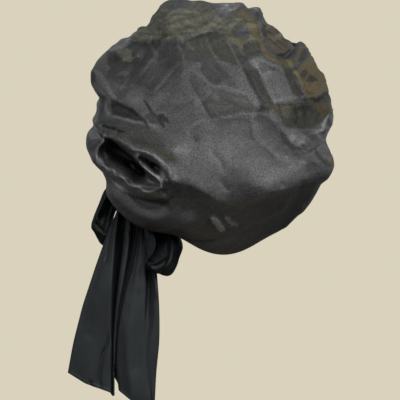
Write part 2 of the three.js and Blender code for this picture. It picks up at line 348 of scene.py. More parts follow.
def smooth_foot(height):
    """Height, cut off at 0 with a small round turn."""
    lift = (math.hypot(1, FOOT_ROUNDING) - 1) / 2
    return (height + np.hypot(height, FOOT_ROUNDING)) / 2 - lift * (height > 0)


def slow_wander(points, size, seed):
    """A smooth random value from about -1 to 1 at each point, which changes over that many millimetres."""
    random = np.random.default_rng(seed)
    total = np.zeros(points.shape[:-1])
    for _ in range(6):
        way = random.normal(size=3)
        way *= 2 * np.pi / size * random.uniform(0.6, 1.4) / np.linalg.norm(way)
        total += np.sin(points @ way + random.uniform(0, 2 * np.pi))
    return total / 2.5


def add_folds(points, normals, weight, folds, places=None):
    """Moves points out by the folds, worked out from where they all start, or from the places given."""
    moved = points.copy()
    x, z = (points[..., 0], points[..., 2]) if places is None else places
    for f in folds:
        margin = FOLD_REACH * max(f["left"], f["right"])
        low, high = f["line"].min(0) - margin, f["line"].max(0) + margin
        near = (x > low[0]) & (x < high[0]) & (z > low[1]) & (z < high[1]) & (weight > 0)
        distance, side, share = near_line(x[near], z[near], f["line"])
        if f["ragged"]:
            distance = distance + side * f["ragged"] * slow_wander(points[near], 13, 3)
        width = mix(f["right"], f["left"], (side + 1) / 2)
        distance = np.hypot(distance, CREASE_ROUNDING) - CREASE_ROUNDING
        if f["power"] < TENT_BELOW:
            height = smooth_foot(1 - distance / (TENT_REACH * width))
        else:
            height = np.exp(-((distance / width) ** f["power"]))
        height = height * weight[near]
        if f["taper"]:
            height = height * smoothstep(np.minimum(share, 1 - share), -0.02, f["taper"])
        way = mix(normals[near], STRAIGHT_BACK, f["straight"])
        moved[near] += height[..., None] * (f["rise"] * way)
    return moved


# %% [markdown]
# The large folds come first: the pocket that the sagging crown makes beside the bow, the rolls round it,
# and the crest where the cloth turns under.

# %% Large folds, in millimetres across and up
LARGE_FOLDS = [
    fold("pocket", [(-107.5, 9), (-98, 1.5), (-88, -5), (-80, -12), (-76, -17)], -46, 7.3, 7, power=4, straight=1),
    fold("pocket basin", [(-104, 6), (-88, -7), (-72, -16), (-60, -22)], -9, 9, 13, power=3, straight=0.8),
    fold("pocket end", [(-72, -3), (-64, -7), (-56, -12)], -20, 3.6, power=2.6, straight=1),
    fold("upper lip", [(-124, 37), (-114, 27), (-107, 21), (-93, 17), (-84, 11), (-76, 8), (-67, 6), (-58, 1),
         (-50, -5), (-43, -14), (-40, -24)], 3.4, 4, 2, power=1.3, straight=0.6, ragged=0.6),
    fold("upper lip's back", [(-128, 32), (-120, 24), (-114, 17)], -5, 3, 6, straight=0.2),
    fold("lip brow", [(-114, 34), (-90, 26), (-65, 20), (-40, 8)], 5, 11),
    fold("lower lip", [(-111, 19), (-114.5, 9), (-116, -1), (-108, -9), (-101, -13), (-97, -18), (-88, -21),
         (-81, -28), (-73, -29), (-66, -32), (-58, -32), (-51, -29), (-53, -22), (-63, -14), (-74, -3)], 10, 3.6, 3.6,
         power=1.5, straight=0.8, ragged=0.7),
    fold("lower roll", [(-120, -4), (-101, -20), (-78, -33), (-54, -35)], 7, 9),
    fold("under roll", [(-110, -18), (-97, -28), (-84, -38), (-70, -46), (-58, -48), (-44, -42)], -10, 7, 9,
         taper=0.2),
    fold("bottom roll", [(-106, -42), (-86, -58), (-60, -66), (-28, -70)], 5, 14),
    crease("upper crease", [(-96, 52), (-86, 46), (-76, 42), (-68, 38)], -0.8, 8, 4, taper=0.3),
    crease("upper crease foot", [(-106, 42), (-94, 41), (-84, 38), (-72, 35), (-66, 34)], 0.8, 2.6, 4, taper=0.3),
    fold("upper crease edge", [(-112, 66), (-100, 59), (-90, 55), (-79, 50), (-70, 41), (-64, 35)], 1.3, 10, 4,
         power=1.4),
    fold("second crease", [(-68, 58), (-60, 45), (-50, 37)], -1.2, 3, 5, taper=0.3, power=1.3),
    fold("crest", [(-40, -20), (-30, -25), (-20, -27), (-4, -35), (8, -42), (20, -43), (46, -39), (75, -31),
         (97, -24), (122, -18), (150, -18)], 9, 34, 10, power=1.3),
    fold("back fullness", [(0, 10), (50, 5), (90, 0)], 5, 34),
    fold("right fullness", [(58, -30), (88, -24), (108, -16)], 17, 40, 12, power=2, straight=1),
    fold("ear hollow", [(56, 152), (55, 132), (60, 116), (67, 107), (77, 106), (86, 112), (96, 126)], -9, 26, 2,
         power=2, straight=0.6),
    fold("ear rim", [(49, 156), (49, 134), (54, 116), (63, 103), (76, 100), (88, 105), (98, 116)], 3, 4, 8),
    fold("right pucker", [(150, 22), (118, 24), (104, 20)], -2, 8, taper=0.2),
    fold("right knob", [(128, 48), (119, 40), (115, 28)], 5, 5, 4, power=1.6),
    fold("right hollow", [(62, 45), (84, 42), (112, 46)], -5, 10, 12),
    fold("top hump", [(-84, 134), (-66, 130), (-50, 140)], 4, 10),
]

# %% [markdown]
# Then come the creases that cross the back. Each is only a millimetre or two high, so they could be bump,
# but satin is shiny enough for that to show from the side too. They are charted part by part.

# %% Creases at the upper right
# a slanting ridge, a dark fall beyond it, and a flat facet that faces back
CREASES = [
    crease("slant ridge", [(-28, 98), (-4, 99), (13, 96), (27, 92), (38, 76), (49, 58), (57, 44)], 3.2, 6, 10),
    crease("facet foot", [(31, 96), (44, 92), (54, 79), (60, 66), (65, 55)], -3.2, 5, 6, taper=0.2),
    fold("facet edge", [(32, 99), (48, 104), (62, 101), (71, 96), (76, 88), (80, 76), (85, 67), (92, 61)], 5, 2.6, 20,
         power=1.4),
    fold("facet valley", [(74, 104), (80, 90), (85, 78), (90, 68)], -3, 4, power=1.3, ragged=0.8),
    crease("bronze ridge", [(84, 94), (90, 84), (95, 70), (101, 62)], 1.0, 6, 3, ragged=0.6),
    fold("bronze dimple a", [(94, 88), (100, 84)], -2.2, 5, power=1.3),
    fold("bronze dimple b", [(106, 86), (112, 80)], -2.2, 5, power=1.3),
    crease("bronze shelf", [(97, 63), (108, 63), (120, 74)], 2.4, 14, 2.4),
    crease("cross seam", [(58, 57), (66, 56), (77, 54), (87, 56), (103, 58), (118, 63)], -0.9, 2.4, 5, taper=0.2),
    crease("hollow streak a", [(67, 54), (71, 42), (75, 30)], -0.6, 2.4, 4),
    crease("hollow streak b", [(85, 53), (86, 42), (82, 32)], -1.2, 2.4, 4),
    crease("hollow streak c", [(97, 52), (94, 40), (95, 30)], -1.4, 3, 5),
    crease("hollow streak d", [(110, 55), (106, 44), (108, 34)], -1.6, 3, 5),
]

# %% Creases in the middle and at the right tip
# a lens-shaped fall between two level lines, the thin lines that run down to it, and the crumpled tip
CREASES += [
    crease("level ridge", [(-20, 87), (-4, 75), (6, 72), (22, 69), (38, 60)], 1.1, 8, 5, taper=0.2),
    fold("lens foot", [(-2, 40), (14, 42), (29, 44), (44, 44)], -1.4, 15, 3, power=1.3, taper=0.25),
    crease("steep line a", [(6, 124), (14, 112), (24, 97), (30, 90)], 1.2, 2.4, 3),
    crease("steep line b", [(-4, 119), (3, 107), (11, 98)], 1.2, 2.4, 3),
    crease("steep line c", [(14, 124), (24, 120), (34, 110)], 1, 2.4),
    crease("dark line", [(-24, 82), (-16, 68), (-10, 56), (-3, 44), (4, 33)], -0.8, 2.4, 4),
    crease("dark line's branch", [(-10, 56), (2, 48), (14, 36)], -0.8, 2.4),
    fold("right dark fall", [(51, 46), (62, 37), (74, 26), (81, 16), (90, 11), (102, 10)], -3.6, 5, 6, power=1.4,
         ragged=0.8),
    crease("curl a", [(35, 44), (40, 30), (45, 18)], -1, 2.4, 4),
    crease("curl b", [(52, 13), (58, 7), (66, -1), (75, -3)], -0.9, 2.4, 4),
    crease("curl c", [(0, 7), (7, 0), (11, -9)], -0.7, 2.4),
    crease("crest nick", [(9, -22), (15, -30), (20, -33)], -0.6, 2.4, taper=0.2),
    crease("short nick", [(-22, 25), (-16, 20)], -1.1, 2.2),
    crease("tip stroke", [(104, 13), (109, 3), (118, -8)], -1.6, 3, taper=0.2),
    crease("tip crumple a", [(76, 22), (88, 27), (98, 21)], 1.0, 3, 5, taper=0.2),
    crease("tip crumple e", [(66, 12), (78, 8), (90, -2), (104, -8)], 0.6, 4, 6, taper=0.4),
    crease("tip crumple f", [(86, 26), (94, 20), (104, 22), (112, 28)], -0.9, 3, 4, taper=0.2),
    crease("tip crumple g", [(108, 12), (100, 4), (98, -8)], 0.9, 3, 5, taper=0.2),
    crease("tip crumple b", [(98, 20), (106, 14), (104, 4)], 1.6, 3, 5),
    crease("tip crumple c", [(84, 2), (95, -2), (108, -3)], 0.7, 4),
    crease("tip crumple d", [(88, 18), (94, 8), (90, -4)], -0.7, 3, 4),
]

# %% Creases at the upper left
# long thin ridges that slant down to the left, and the ridge where the crown turns over at the top
CREASES += [
    crease("slat a", [(-46, 118), (-58, 104), (-73, 87)], 1.4, 2.2, 6),
    crease("slat b", [(-70, 103), (-84, 86), (-98, 68)], -1.2, 5, 2.4),
    crease("slat c", [(-32, 98), (-46, 83), (-61, 66)], 0.9, 8, 2.4),
    crease("slat d", [(-58, 96), (-66, 86), (-72, 76)], 0.8, 2.2),
    crease("slat e", [(-34, 119), (-25, 114), (-16, 108)], 1.2, 2.4),
    crease("slat f", [(-64, 112), (-58, 104)], 0.8, 2.2),
    fold("soft fold a", [(-54, 68), (-42, 74), (-28, 68), (-18, 60)], 1, 5, 3, power=1.3),
    fold("soft fold b", [(-50, 58), (-36, 54), (-22, 58)], -1, 4, 5, power=1.3),
    crease("left edge ridge", [(-124, 90), (-111, 81), (-105, 71), (-99, 61), (-83, 55), (-74, 46), (-66, 37)], 2.6,
           7, 3),
    crease("left edge foot", [(-127, 76), (-117, 68), (-106, 60), (-101, 55)], 1.6, 2.4, 3),
    crease("second crease edge", [(-70, 62), (-60, 49), (-47, 39)], 0.6, 7, 2.2, taper=0.2),
    crease("left upright", [(-109, 60), (-112, 46), (-113, 34)], -2.4, 3, 5),
    crease("left upright b", [(-104, 56), (-106, 48), (-110, 40)], 1.4, 2.4),
    crease("dimple a", [(-112, 32), (-105, 31), (-98, 29)], -1.6, 2.4, 3),
    crease("dimple b", [(-96, 27), (-88, 27)], -1.2, 2.2, 3),
    crease("brow pinch", [(-74, 33), (-66, 34), (-58, 34)], 1, 4),
    crease("turn-over", [(-86, 118), (-76, 121), (-65, 119), (-46, 121), (-30, 120), (-14, 117)], 3.2, 10, 3,
           ragged=0.8),
    crease("left olive patch", [(-98, 108), (-88, 104), (-76, 104)], 2.2, 5, 3, ragged=0.8),
    fold("left shade", [(-108, 100), (-98, 98), (-80, 96)], -2, 6, power=1.4),
]

# %% Creases below the crest
# short lines that fan out from the hem, and the lip that curls in beside the pocket
CREASES += [
    fold("glint a", [(1, -64), (11, -73)], 3, 5, 4, power=2),
    fold("glint b", [(14, -60), (24, -68)], 2, 4, 3.5, power=2),
    fold("hem line", [(-64, -72), (-45, -74), (-28, -80), (-10, -85), (8, -84), (36, -78)], -2, 4, 3, power=1.3),
    fold("low left fan", [(-62, -74), (-40, -72), (-20, -66)], 1.6, 5, 3, power=1.3),
    crease("right ray a", [(84, -37), (77, -48), (69, -57)], 1.4, 3),
    crease("right ray b", [(74, -34), (67, -50)], 1.2, 3),
    crease("right ray c", [(106, -28), (98, -44), (92, -54)], 1.8, 4, 3),
    crease("right ray d", [(91, -50), (84, -60), (76, -70)], 1.6, 3),
    fold("curled lip", [(-51, -30), (-52, -23), (-62, -14), (-75, -3)], 12, 2.4, 2.8, power=1.3, straight=1),
]
print(f"{len(LARGE_FOLDS)} large folds and {len(CREASES)} creases")

# %% [markdown]
# Between the named creases the satin is crumpled. A noise texture would give soft dents, but crumpled
# cloth is flat facets that meet in sharp lines. So the crumple is a few triangle waves in different
# directions. Each wave's place is bent a little by a slower one, so no two creases run parallel for long.

# %% Crumple
def crumple(points, size, seed, lean=0, stretch=1, waves=4, bend=0.25):
    """Height of facets about that many millimetres across, with slopes of about one in one. Seen from
    behind they can be stretched along a line that leans that many degrees from level."""
    level, upright = math.cos(math.radians(lean)), math.sin(math.radians(lean))
    long = (points[..., 0] * level + points[..., 2] * upright) * (1 / stretch - 1)
    points = points + long[..., None] * np.array([level, 0, upright])
    random = np.random.default_rng(seed)
    total = np.zeros(points.shape[:-1])
    for k in range(waves):
        way = random.normal(size=3)
        way /= np.linalg.norm(way)
        length = size * random.uniform(1.5, 2.6)
        turn = points @ way / length + random.uniform(0, 1)
        turn = turn + bend * slow_wander(points, size * 3, seed + 31 * k)
        strength = smoothstep(slow_wander(points, size * 2.5, seed + 17 * k), -0.5, 0.5)
        total += strength * (np.abs(turn - np.floor(turn) - 0.5) - 0.25) * length
    return total / waves**0.5


# %% [markdown]
# A crease on the far slope of a swelling looks out of place if it is only put there by its height and
# width, as things further off look smaller. So creases and the painted light and shade are charted as on
# an upright pane of glass that stands against the crown's back, and carried on to the cloth from one fixed
# point behind the wearer. This is done once, and from then on they belong to the cloth.

# %% Chart the crown's back
CHART_Y = -150
CHARTED_FROM = (-11.9, -1566.6, 56.2)


def charted(points):
    """Where points lie on the chart of the crown's back, across and up."""
    share = (CHART_Y - CHARTED_FROM[1]) / (points[..., 1] - CHARTED_FROM[1])
    return [CHARTED_FROM[k] + share * (points[..., k] - CHARTED_FROM[k]) for k in (0, 2)]


# %% [markdown]
# The crown is asked for its place at any pair of numbers: across goes round it, and along goes from the
# back point to the hem. One big grid would do, but asking lets each skin have its points where it needs
# them.

# %% Shape the crown
RUMPLES_END = (0.9, 0.97)
# size, seed, lean and stretch, then height all over, and more at the top, on the right and low on the right
RUMPLES = [
    (12, 5, 20, 1.6, 0.02, 0.12, 0, 0),
    (7, 9, 20, 1.5, 0.01, 0.20, 0.08, 0.12),
    (4, 12, -20, 1.3, 0.01, 0.12, 0.06, 0.08),
]
GATHERS = 60
GATHER_HEIGHT = 2.6
GATHER_REACH = (0.55, 0.92, 0.965, 1)
POLE_STEP = 0.004  # normals aren't asked for nearer the back point than this


def normals_of(shape, across, along, step=0.002):
    """Unit normals, pointing out, of a shape that is asked for places."""
    onward = shape(across, np.minimum(along + step, 1)) - shape(across, np.maximum(along - step, 0))
    sideways = shape(across + step, along) - shape(across - step, along)
    normals = np.cross(onward, sideways)
    size = np.linalg.norm(normals, axis=-1, keepdims=True)
    return np.where(size > TINY, unit(normals), STRAIGHT_BACK)


def rumpled(form):
    """Height of the crumple, which is strongest at the top and on the right."""
    x, z = form[..., 0], form[..., 2]
    high = smoothstep(z, 95, 125)
    right = smoothstep(x, 60, 90) * smoothstep(z, 0, 40)
    right_low = smoothstep(x, 70, 100) * smoothstep(z, -20, 0)
    total = 0
    for size, seed, lean, stretch, all_over, top, side, low in RUMPLES:
        height = all_over + top * high + side * right + low * right_low
        total = total + height * crumple(form, size, seed, lean, stretch)
    return total


def gathers(across, along):
    """Depth of the gathers at the hem, which are uneven in place and strength."""
    angle = 2 * np.pi * across
    drift = 0.3 * np.sin(5 * angle + 1) + 0.2 * np.sin(13 * angle + 6 * along) + 0.1 * np.sin(31 * angle)
    strength = 1 + 0.3 * np.sin(17 * angle + 2) + 0.25 * np.sin(29 * angle + 5)
    wave = (1 + np.cos(GATHERS * angle + 2 * np.pi * drift)) / 2
    return GATHER_HEIGHT * between(along, *GATHER_REACH) * strength * wave


def crown_cloth(across, along):
    form = crown_form(across, along)
    normals = normals_of(crown_form, across, np.maximum(along, POLE_STEP))
    on_back = 1 - smoothstep(along, 0.5, 0.72)
    cloth = add_folds(form, normals, on_back, LARGE_FOLDS)
    cloth = add_folds(cloth, normals, on_back, CREASES, charted(cloth))
    cloth += (rumpled(form) * (1 - smoothstep(along, *RUMPLES_END)))[..., None] * normals
    return cloth - gathers(across, along)[..., None] * normals


sample = crown_cloth(*np.meshgrid(np.linspace(0, 1, 60), np.linspace(POLE_STEP, 1, 30)))
print("the crown hangs back to, mm:", sample[..., 1].min().round())


# %% [markdown]
# ## Painted light and shade
#
# Satin is light or dark by the way its threads run in each flat and by how the light falls on it, and here
# both are painted into its colour. An image texture could carry that, and so could painting by hand. Here
# it is charted like the folds, which needs no image: the crown has painted light and shade of 1 in most
# places, with painted shade below 1 and painted light above 1 in areas and along lines. An area is an
# outline on the chart, and its edge is ragged because the cloth is creased there. Olive and bronze are
# painted reflections of a warm room that only some flats have. Later rows go over earlier ones, and a line
# multiplies what it crosses.

# %% Rows of the tables of painted light and shade
def area(name, value, outline, soft=1.5, ragged=1.0):
    """soft and ragged are in millimetres, across the area's edge."""
    return dict(name=name, value=value, outline=np.array(outline, float), soft=soft, ragged=ragged)


def stroke(name, value, line, width=1.0):
    return dict(name=name, value=value, line=curve_through(line), width=width)


# %% Areas of painted light and shade at the top and across the back
# painted light and shade: an area's value above 1 is painted light, and below 1 painted shade
PAINTED_LIGHT_AND_SHADE_AREAS = [
    area("underside", 0.76, [(-130, -30), (-90, -38), (-50, -44), (-10, -48), (30, -50), (70, -44), (110, -30),
         (140, -20), (120, -110), (-110, -110)], 10, 2),
    area("left field", 0.9, [(-98, 64), (-90, 71), (-80, 73), (-68, 69), (-60, 67), (-54, 75), (-46, 86), (-30, 97),
         (-18, 97), (0, 78), (8, 40), (-40, 30), (-46, 40), (-62, 62), (-80, 60)], 4, 2),
    area("beside the lower slat", 0.76, [(-57, 68), (-48, 80), (-38, 90), (-30, 98), (-18, 97), (-22, 88), (-28, 78),
         (-36, 72), (-46, 66)], 3, 1),
    area("light bulge", 1.2, [(-89, 60), (-85, 67), (-78, 70.5), (-71, 68), (-66, 62), (-68, 58), (-74, 57),
         (-82, 57)], 3, 1),
    area("middle", 0.84, [(-22, 84), (-10, 90), (6, 78), (22, 76), (36, 66), (22, 62), (8, 66), (-6, 60), (-16, 66)],
         6, 2),
    area("below the lens", 0.88, [(-20, 34), (0, 38), (20, 40), (44, 40), (36, 24), (10, 16), (-14, 20)], 6, 2),
    area("dark shoulder", 0.66, [(-107, 84), (-104, 90), (-106, 98), (-106, 108), (-96, 107), (-86, 112), (-82, 118),
         (-62, 117), (-54, 118), (-43, 119), (-34, 119), (-30, 117), (-30, 99), (-36, 97), (-41, 92), (-47, 86),
         (-53, 78), (-60, 69), (-70, 72), (-80, 75), (-90, 73), (-98, 77)], 2, 1.2),
    area("darkest shoulder", 0.5, [(-106, 107), (-96, 106), (-86, 111), (-81, 118), (-62, 117), (-52, 118),
         (-60, 110), (-66, 100), (-76, 93), (-92, 91), (-103, 88), (-106, 96)], 3, 1.6),
    area("light flake", 1.0, [(-98, 84), (-94, 87.5), (-89, 89), (-85, 88), (-83, 86), (-86, 83), (-89, 82),
         (-91, 83.5), (-96, 83)], 1.4, 0.6),
    area("middle dark", 0.56, [(-31, 118), (-27, 123), (-20, 121), (-13, 126), (-9, 128), (-4, 119), (-5, 128),
         (4, 128), (11, 127), (16, 121), (22, 116), (30, 112), (36, 118), (49, 119), (50, 104), (36, 100), (30, 95),
         (18, 95), (4, 99), (-10, 97), (-28, 99)], 1.4, 1),
    area("slanting dark", 0.56, [(-9, 98), (-4, 99), (4, 98.5), (8, 96), (14, 91), (18, 85), (20, 82), (12, 79),
         (9, 78.5), (12, 75.5), (6, 74.5), (0, 76), (-5, 80), (-9, 85), (-12, 90)], 1.2, 0.5),
    area("slanting half dark", 0.72, [(20, 82), (12, 79), (9, 78.5), (14, 75), (22, 72), (28, 71), (26, 75)], 1.2,
         0.4),
    area("slant strip", 0.9, [(4, 99), (14, 97), (24, 94), (29, 92), (34, 85), (40, 75), (46, 65), (52, 55), (54, 46),
         (48, 48), (43, 54), (36, 63), (28, 71), (24, 76), (18, 86), (12, 92)], 1.2, 0.8),
    area("lens", 0.54, [(0, 72), (10, 70.5), (22, 67), (32, 64.5), (37, 61.5), (42, 55), (50, 47), (44, 46.5),
         (32, 46), (20, 43.5), (10, 41.8), (0, 40.8), (-3, 44), (-6.5, 50), (-10, 57), (-5, 61), (-1, 66)], 1, 0.5),
    area("lens's light part", 0.78, [(1, 64), (3, 67), (7, 64), (9, 60), (8, 57), (2, 58), (-2, 60)], 1.4, 0.6),
    area("small kite", 0.7, [(-14, 67), (-2, 67), (-6, 62), (-9, 60), (-11, 61)], 1, 0.4),
    area("hole a", 0.5, [(91, 88), (96, 91), (98, 87), (96, 83), (92, 81), (89, 84)], 1.2, 0.4),
    area("hole b", 0.46, [(95, 77), (100, 85), (106, 82), (108, 79), (101, 77)], 1.2, 0.4),
    area("top's foot", 0.76, [(-32, 120), (-26, 124.5), (-16, 128.5), (-8, 131.5), (2, 133), (12, 131.5), (12, 128.5),
         (4, 129.5), (-8, 128.5), (-13, 126), (-20, 121.5), (-28, 119.5)], 1.2, 0.6),
    area("top right light", 1.35, [(1, 160), (2, 150), (8, 145), (16, 146), (23, 150), (28, 160)], 2.4, 1),
    area("top left grey", 0.8, [(-50, 152), (-46, 163), (-30, 165), (-18, 162), (-22, 153), (-34, 149.5)], 2, 1),
    area("grey cell", 0.72, [(20, 130), (24, 135), (32, 136), (36, 133), (38, 126), (37, 121), (30, 120), (26, 122),
         (22, 126)], 1.6, 0.6),
    area("outer shoulder light", 2.0, [(-108, 109), (-100, 115), (-92, 120), (-86, 123), (-80, 128), (-79, 126),
         (-84, 119), (-89, 112), (-94, 111), (-100, 109)], 1.6, 0.6),
    area("left patch", 1.2, [(-98, 110), (-94, 111), (-90, 109), (-86, 111), (-80, 109), (-82, 106), (-80, 103.5),
         (-74, 105.5), (-74, 103.5), (-80, 100), (-83, 97), (-90, 98), (-91, 101), (-94, 103), (-96, 106)], 1.2, 0.8),
    area("far patch a", 1.1, [(-112, 109), (-107, 109), (-106, 103), (-107, 97), (-112, 96), (-118, 98)], 1.2, 0.8),
    area("far patch b", 1.0, [(-113, 94), (-105, 94.5), (-103, 91), (-108, 88), (-112, 90)], 1.2, 0.6),
]

# %% Areas of painted light and shade at the right tip
PAINTED_LIGHT_AND_SHADE_AREAS += [
    area("beside the knob", 1.35, [(97, 28), (104, 27), (111, 28), (114, 20), (113, 12), (108, 8), (102, 14),
         (98, 18)], 2, 0.8),
    area("knob's light", 1.6, [(113, 18), (111, 26), (112, 32), (114, 39), (118, 44.5), (125, 46), (127, 40),
         (125, 34), (121, 30), (118, 25), (117, 20)], 1.4, 0.4),
    area("knob's foot", 2.2, [(106, 29), (111, 29.5), (115, 26), (117, 20), (114, 17), (110, 20), (106, 24)], 1.6,
         0.5),
    area("knob's dark", 0.75, [(117, 39), (120, 41), (121.5, 36), (120, 32), (117.5, 33.5)], 1, 0.4),
    area("tip's flats", 1.12, [(76, 28), (84, 30), (96, 30), (104, 26), (112, 18), (120, 12), (116, 4), (108, 8),
         (102, 14), (94, 15), (84, 15), (78, 20)], 2, 1),
    area("tip light", 1.2, [(112, 8), (119, 6), (127, -6), (123, -10), (118, -3)], 1.6, 0.5),
]

# %% [markdown]
# The upper right has the sharpest flats, with painted light and shade: a bright one that faces back,
# between a dark fall on its left and a fold on its right that hangs over a hollow, and a dark corner under
# a seam.

# %% Areas of painted light and shade at the upper right
PAINTED_LIGHT_AND_SHADE_AREAS += [
    area("under the lens", 0.72, [(4, 39), (20, 41), (40, 40), (34, 37), (18, 35), (8, 31)], 1.6, 0.8),
    area("dark fall", 0.72, [(29, 93), (36, 91), (42, 90), (47, 89), (50, 84), (52, 77), (55, 70), (60, 62), (63, 57),
         (58, 48), (50, 50), (47, 59), (43, 66), (38, 75), (33, 85)], 1.2, 0.8),
    area("dark fall's left side", 0.5, [(28, 94), (33, 85), (38, 75), (43, 66), (47, 59), (50, 50), (54, 50),
         (52, 58), (48, 66), (43, 75), (38.5, 84), (33.5, 92)], 2, 0.5),
    area("fleck in the fall", 0.95, [(42, 87), (44, 88.5), (46, 85), (46.5, 82), (44.5, 83)], 1.2, 0.3),
    area("bright flat", 1.05, [(30, 95), (38, 99), (44, 102), (48, 102.5), (53, 100), (60, 96.5), (66, 93.5),
         (72, 90), (74, 85), (76, 79), (79, 73), (84, 66), (92, 65), (88, 61), (80, 57), (70, 56), (63, 57), (60, 62),
         (55, 70), (52, 77), (50, 84), (47, 89), (40, 90.5), (34, 92)], 1.2, 0.8),
    area("flat's left side", 1.35, [(47, 89), (50, 84), (52, 77), (55, 70), (60, 62), (63, 57), (66, 57), (63, 63),
         (58, 71), (55.5, 78), (53, 85), (50, 89)], 1.6, 0.4),
    area("flat's corner", 1.15, [(36, 96), (40, 99.5), (45, 100), (47, 94), (44, 90), (39, 91)], 3, 0.8),
    area("flat's shade", 0.6, [(48, 98), (53, 97), (60, 93.5), (66, 91), (68, 89.5), (60, 89), (54, 87.5), (51, 86),
         (49, 90)], 1.6, 0.8),
    area("dark edge of the flat", 0.52, [(71, 96), (76, 91.5), (82, 92), (86, 96), (88, 100), (90, 106), (92, 110),
         (95, 112), (98, 108), (97, 103), (93, 98), (90, 93), (88, 90), (83, 90), (82, 86), (86, 82), (88, 76),
         (91, 70), (94, 65), (90, 61), (84, 64), (80, 72), (77, 79), (74, 88)], 1.2, 0.8),
    area("glint in it a", 1.1, [(84, 93), (86, 92), (90, 97), (88, 98)], 1, 0.3),
    area("glint in it b", 1.0, [(81, 75), (84, 78), (84, 81), (81, 78)], 1, 0.3),
    area("ear hollow", 0.55, [(64, 105), (68, 100), (76, 99.5), (82, 101), (85, 105), (87, 110), (90, 115), (84, 112),
         (80, 109), (75, 105), (70, 104)], 1.4, 0.6),
    area("ear's black", 0.12, [(64, 105.5), (68, 103.5), (74, 104.5), (80, 109.5), (79, 110.5), (74, 106.5),
         (68, 105.5)], 1, 0.2),
    area("black gap", 0.02, [(79.5, 122), (92, 122), (89, 117.5), (84, 112.8), (81.5, 115.5)], 0.8, 0.1),
    area("ear rim's light", 0.95, [(50, 151), (53, 146), (53, 136), (53, 128), (56, 118), (54, 116), (51, 126),
         (49, 138), (46, 148)], 1.6, 0.4),
    area("dark corner", 0.5, [(60, 56), (75, 54.5), (90, 56), (104, 58), (120, 60), (121, 48), (116, 40), (108, 34),
         (100, 29), (88, 30), (74, 32), (69, 40), (62, 50)], 1.2, 1),
    area("under the seam a", 0.66, [(58, 54), (67, 55), (68, 50), (60, 49)], 1.2, 0.8),
    area("under the seam b", 0.66, [(71, 52), (78, 54), (89, 55), (88, 52), (80, 51), (73, 50)], 1.2, 0.8),
    area("under the seam c", 0.66, [(102, 54), (110, 58), (120, 57), (122, 50), (120, 44), (112, 43), (109, 48),
         (103, 48)], 1.4, 1.2),
    area("seam's dark end", 0.9, [(101, 60.5), (105, 62), (111, 63.5), (112, 59), (108, 57), (102, 56.5)], 1.4, 0.5),
    area("seam's light end", 0.5, [(112, 66), (119, 68), (121, 60), (116, 59), (112, 60)], 1.4, 0.5),
    area("right dark fall", 0.85, [(48, 44), (56, 45), (62, 41), (68, 35), (72, 29), (76, 21), (84, 15), (92, 13),
         (99, 10), (92, 9.5), (84, 8), (78, 11), (74, 15), (70, 21), (62, 27), (54, 31), (46, 35), (42, 41)], 1.4, 1),
    area("beside the corner", 0.8, [(52, 50), (62, 49), (69, 43), (71, 37), (64, 36), (56, 40), (50, 46)], 2, 0.8),
    area("right dark fall's end", 0.6, [(70, 26), (76, 25), (80, 17), (86, 12), (93, 12.5), (99, 10.5), (92, 9),
         (84, 8.5), (77, 12.5), (71, 18)], 1.4, 0.6),
]

# %% [markdown]
# On the left two creases run in from the edge, each a dark slot with a light side, above the pocket, and
# their dark and light are deepened with painted shade and painted light. The pocket is nearly black inside,
# deepened with painted shade, and its two lips have painted highlights along their edges.

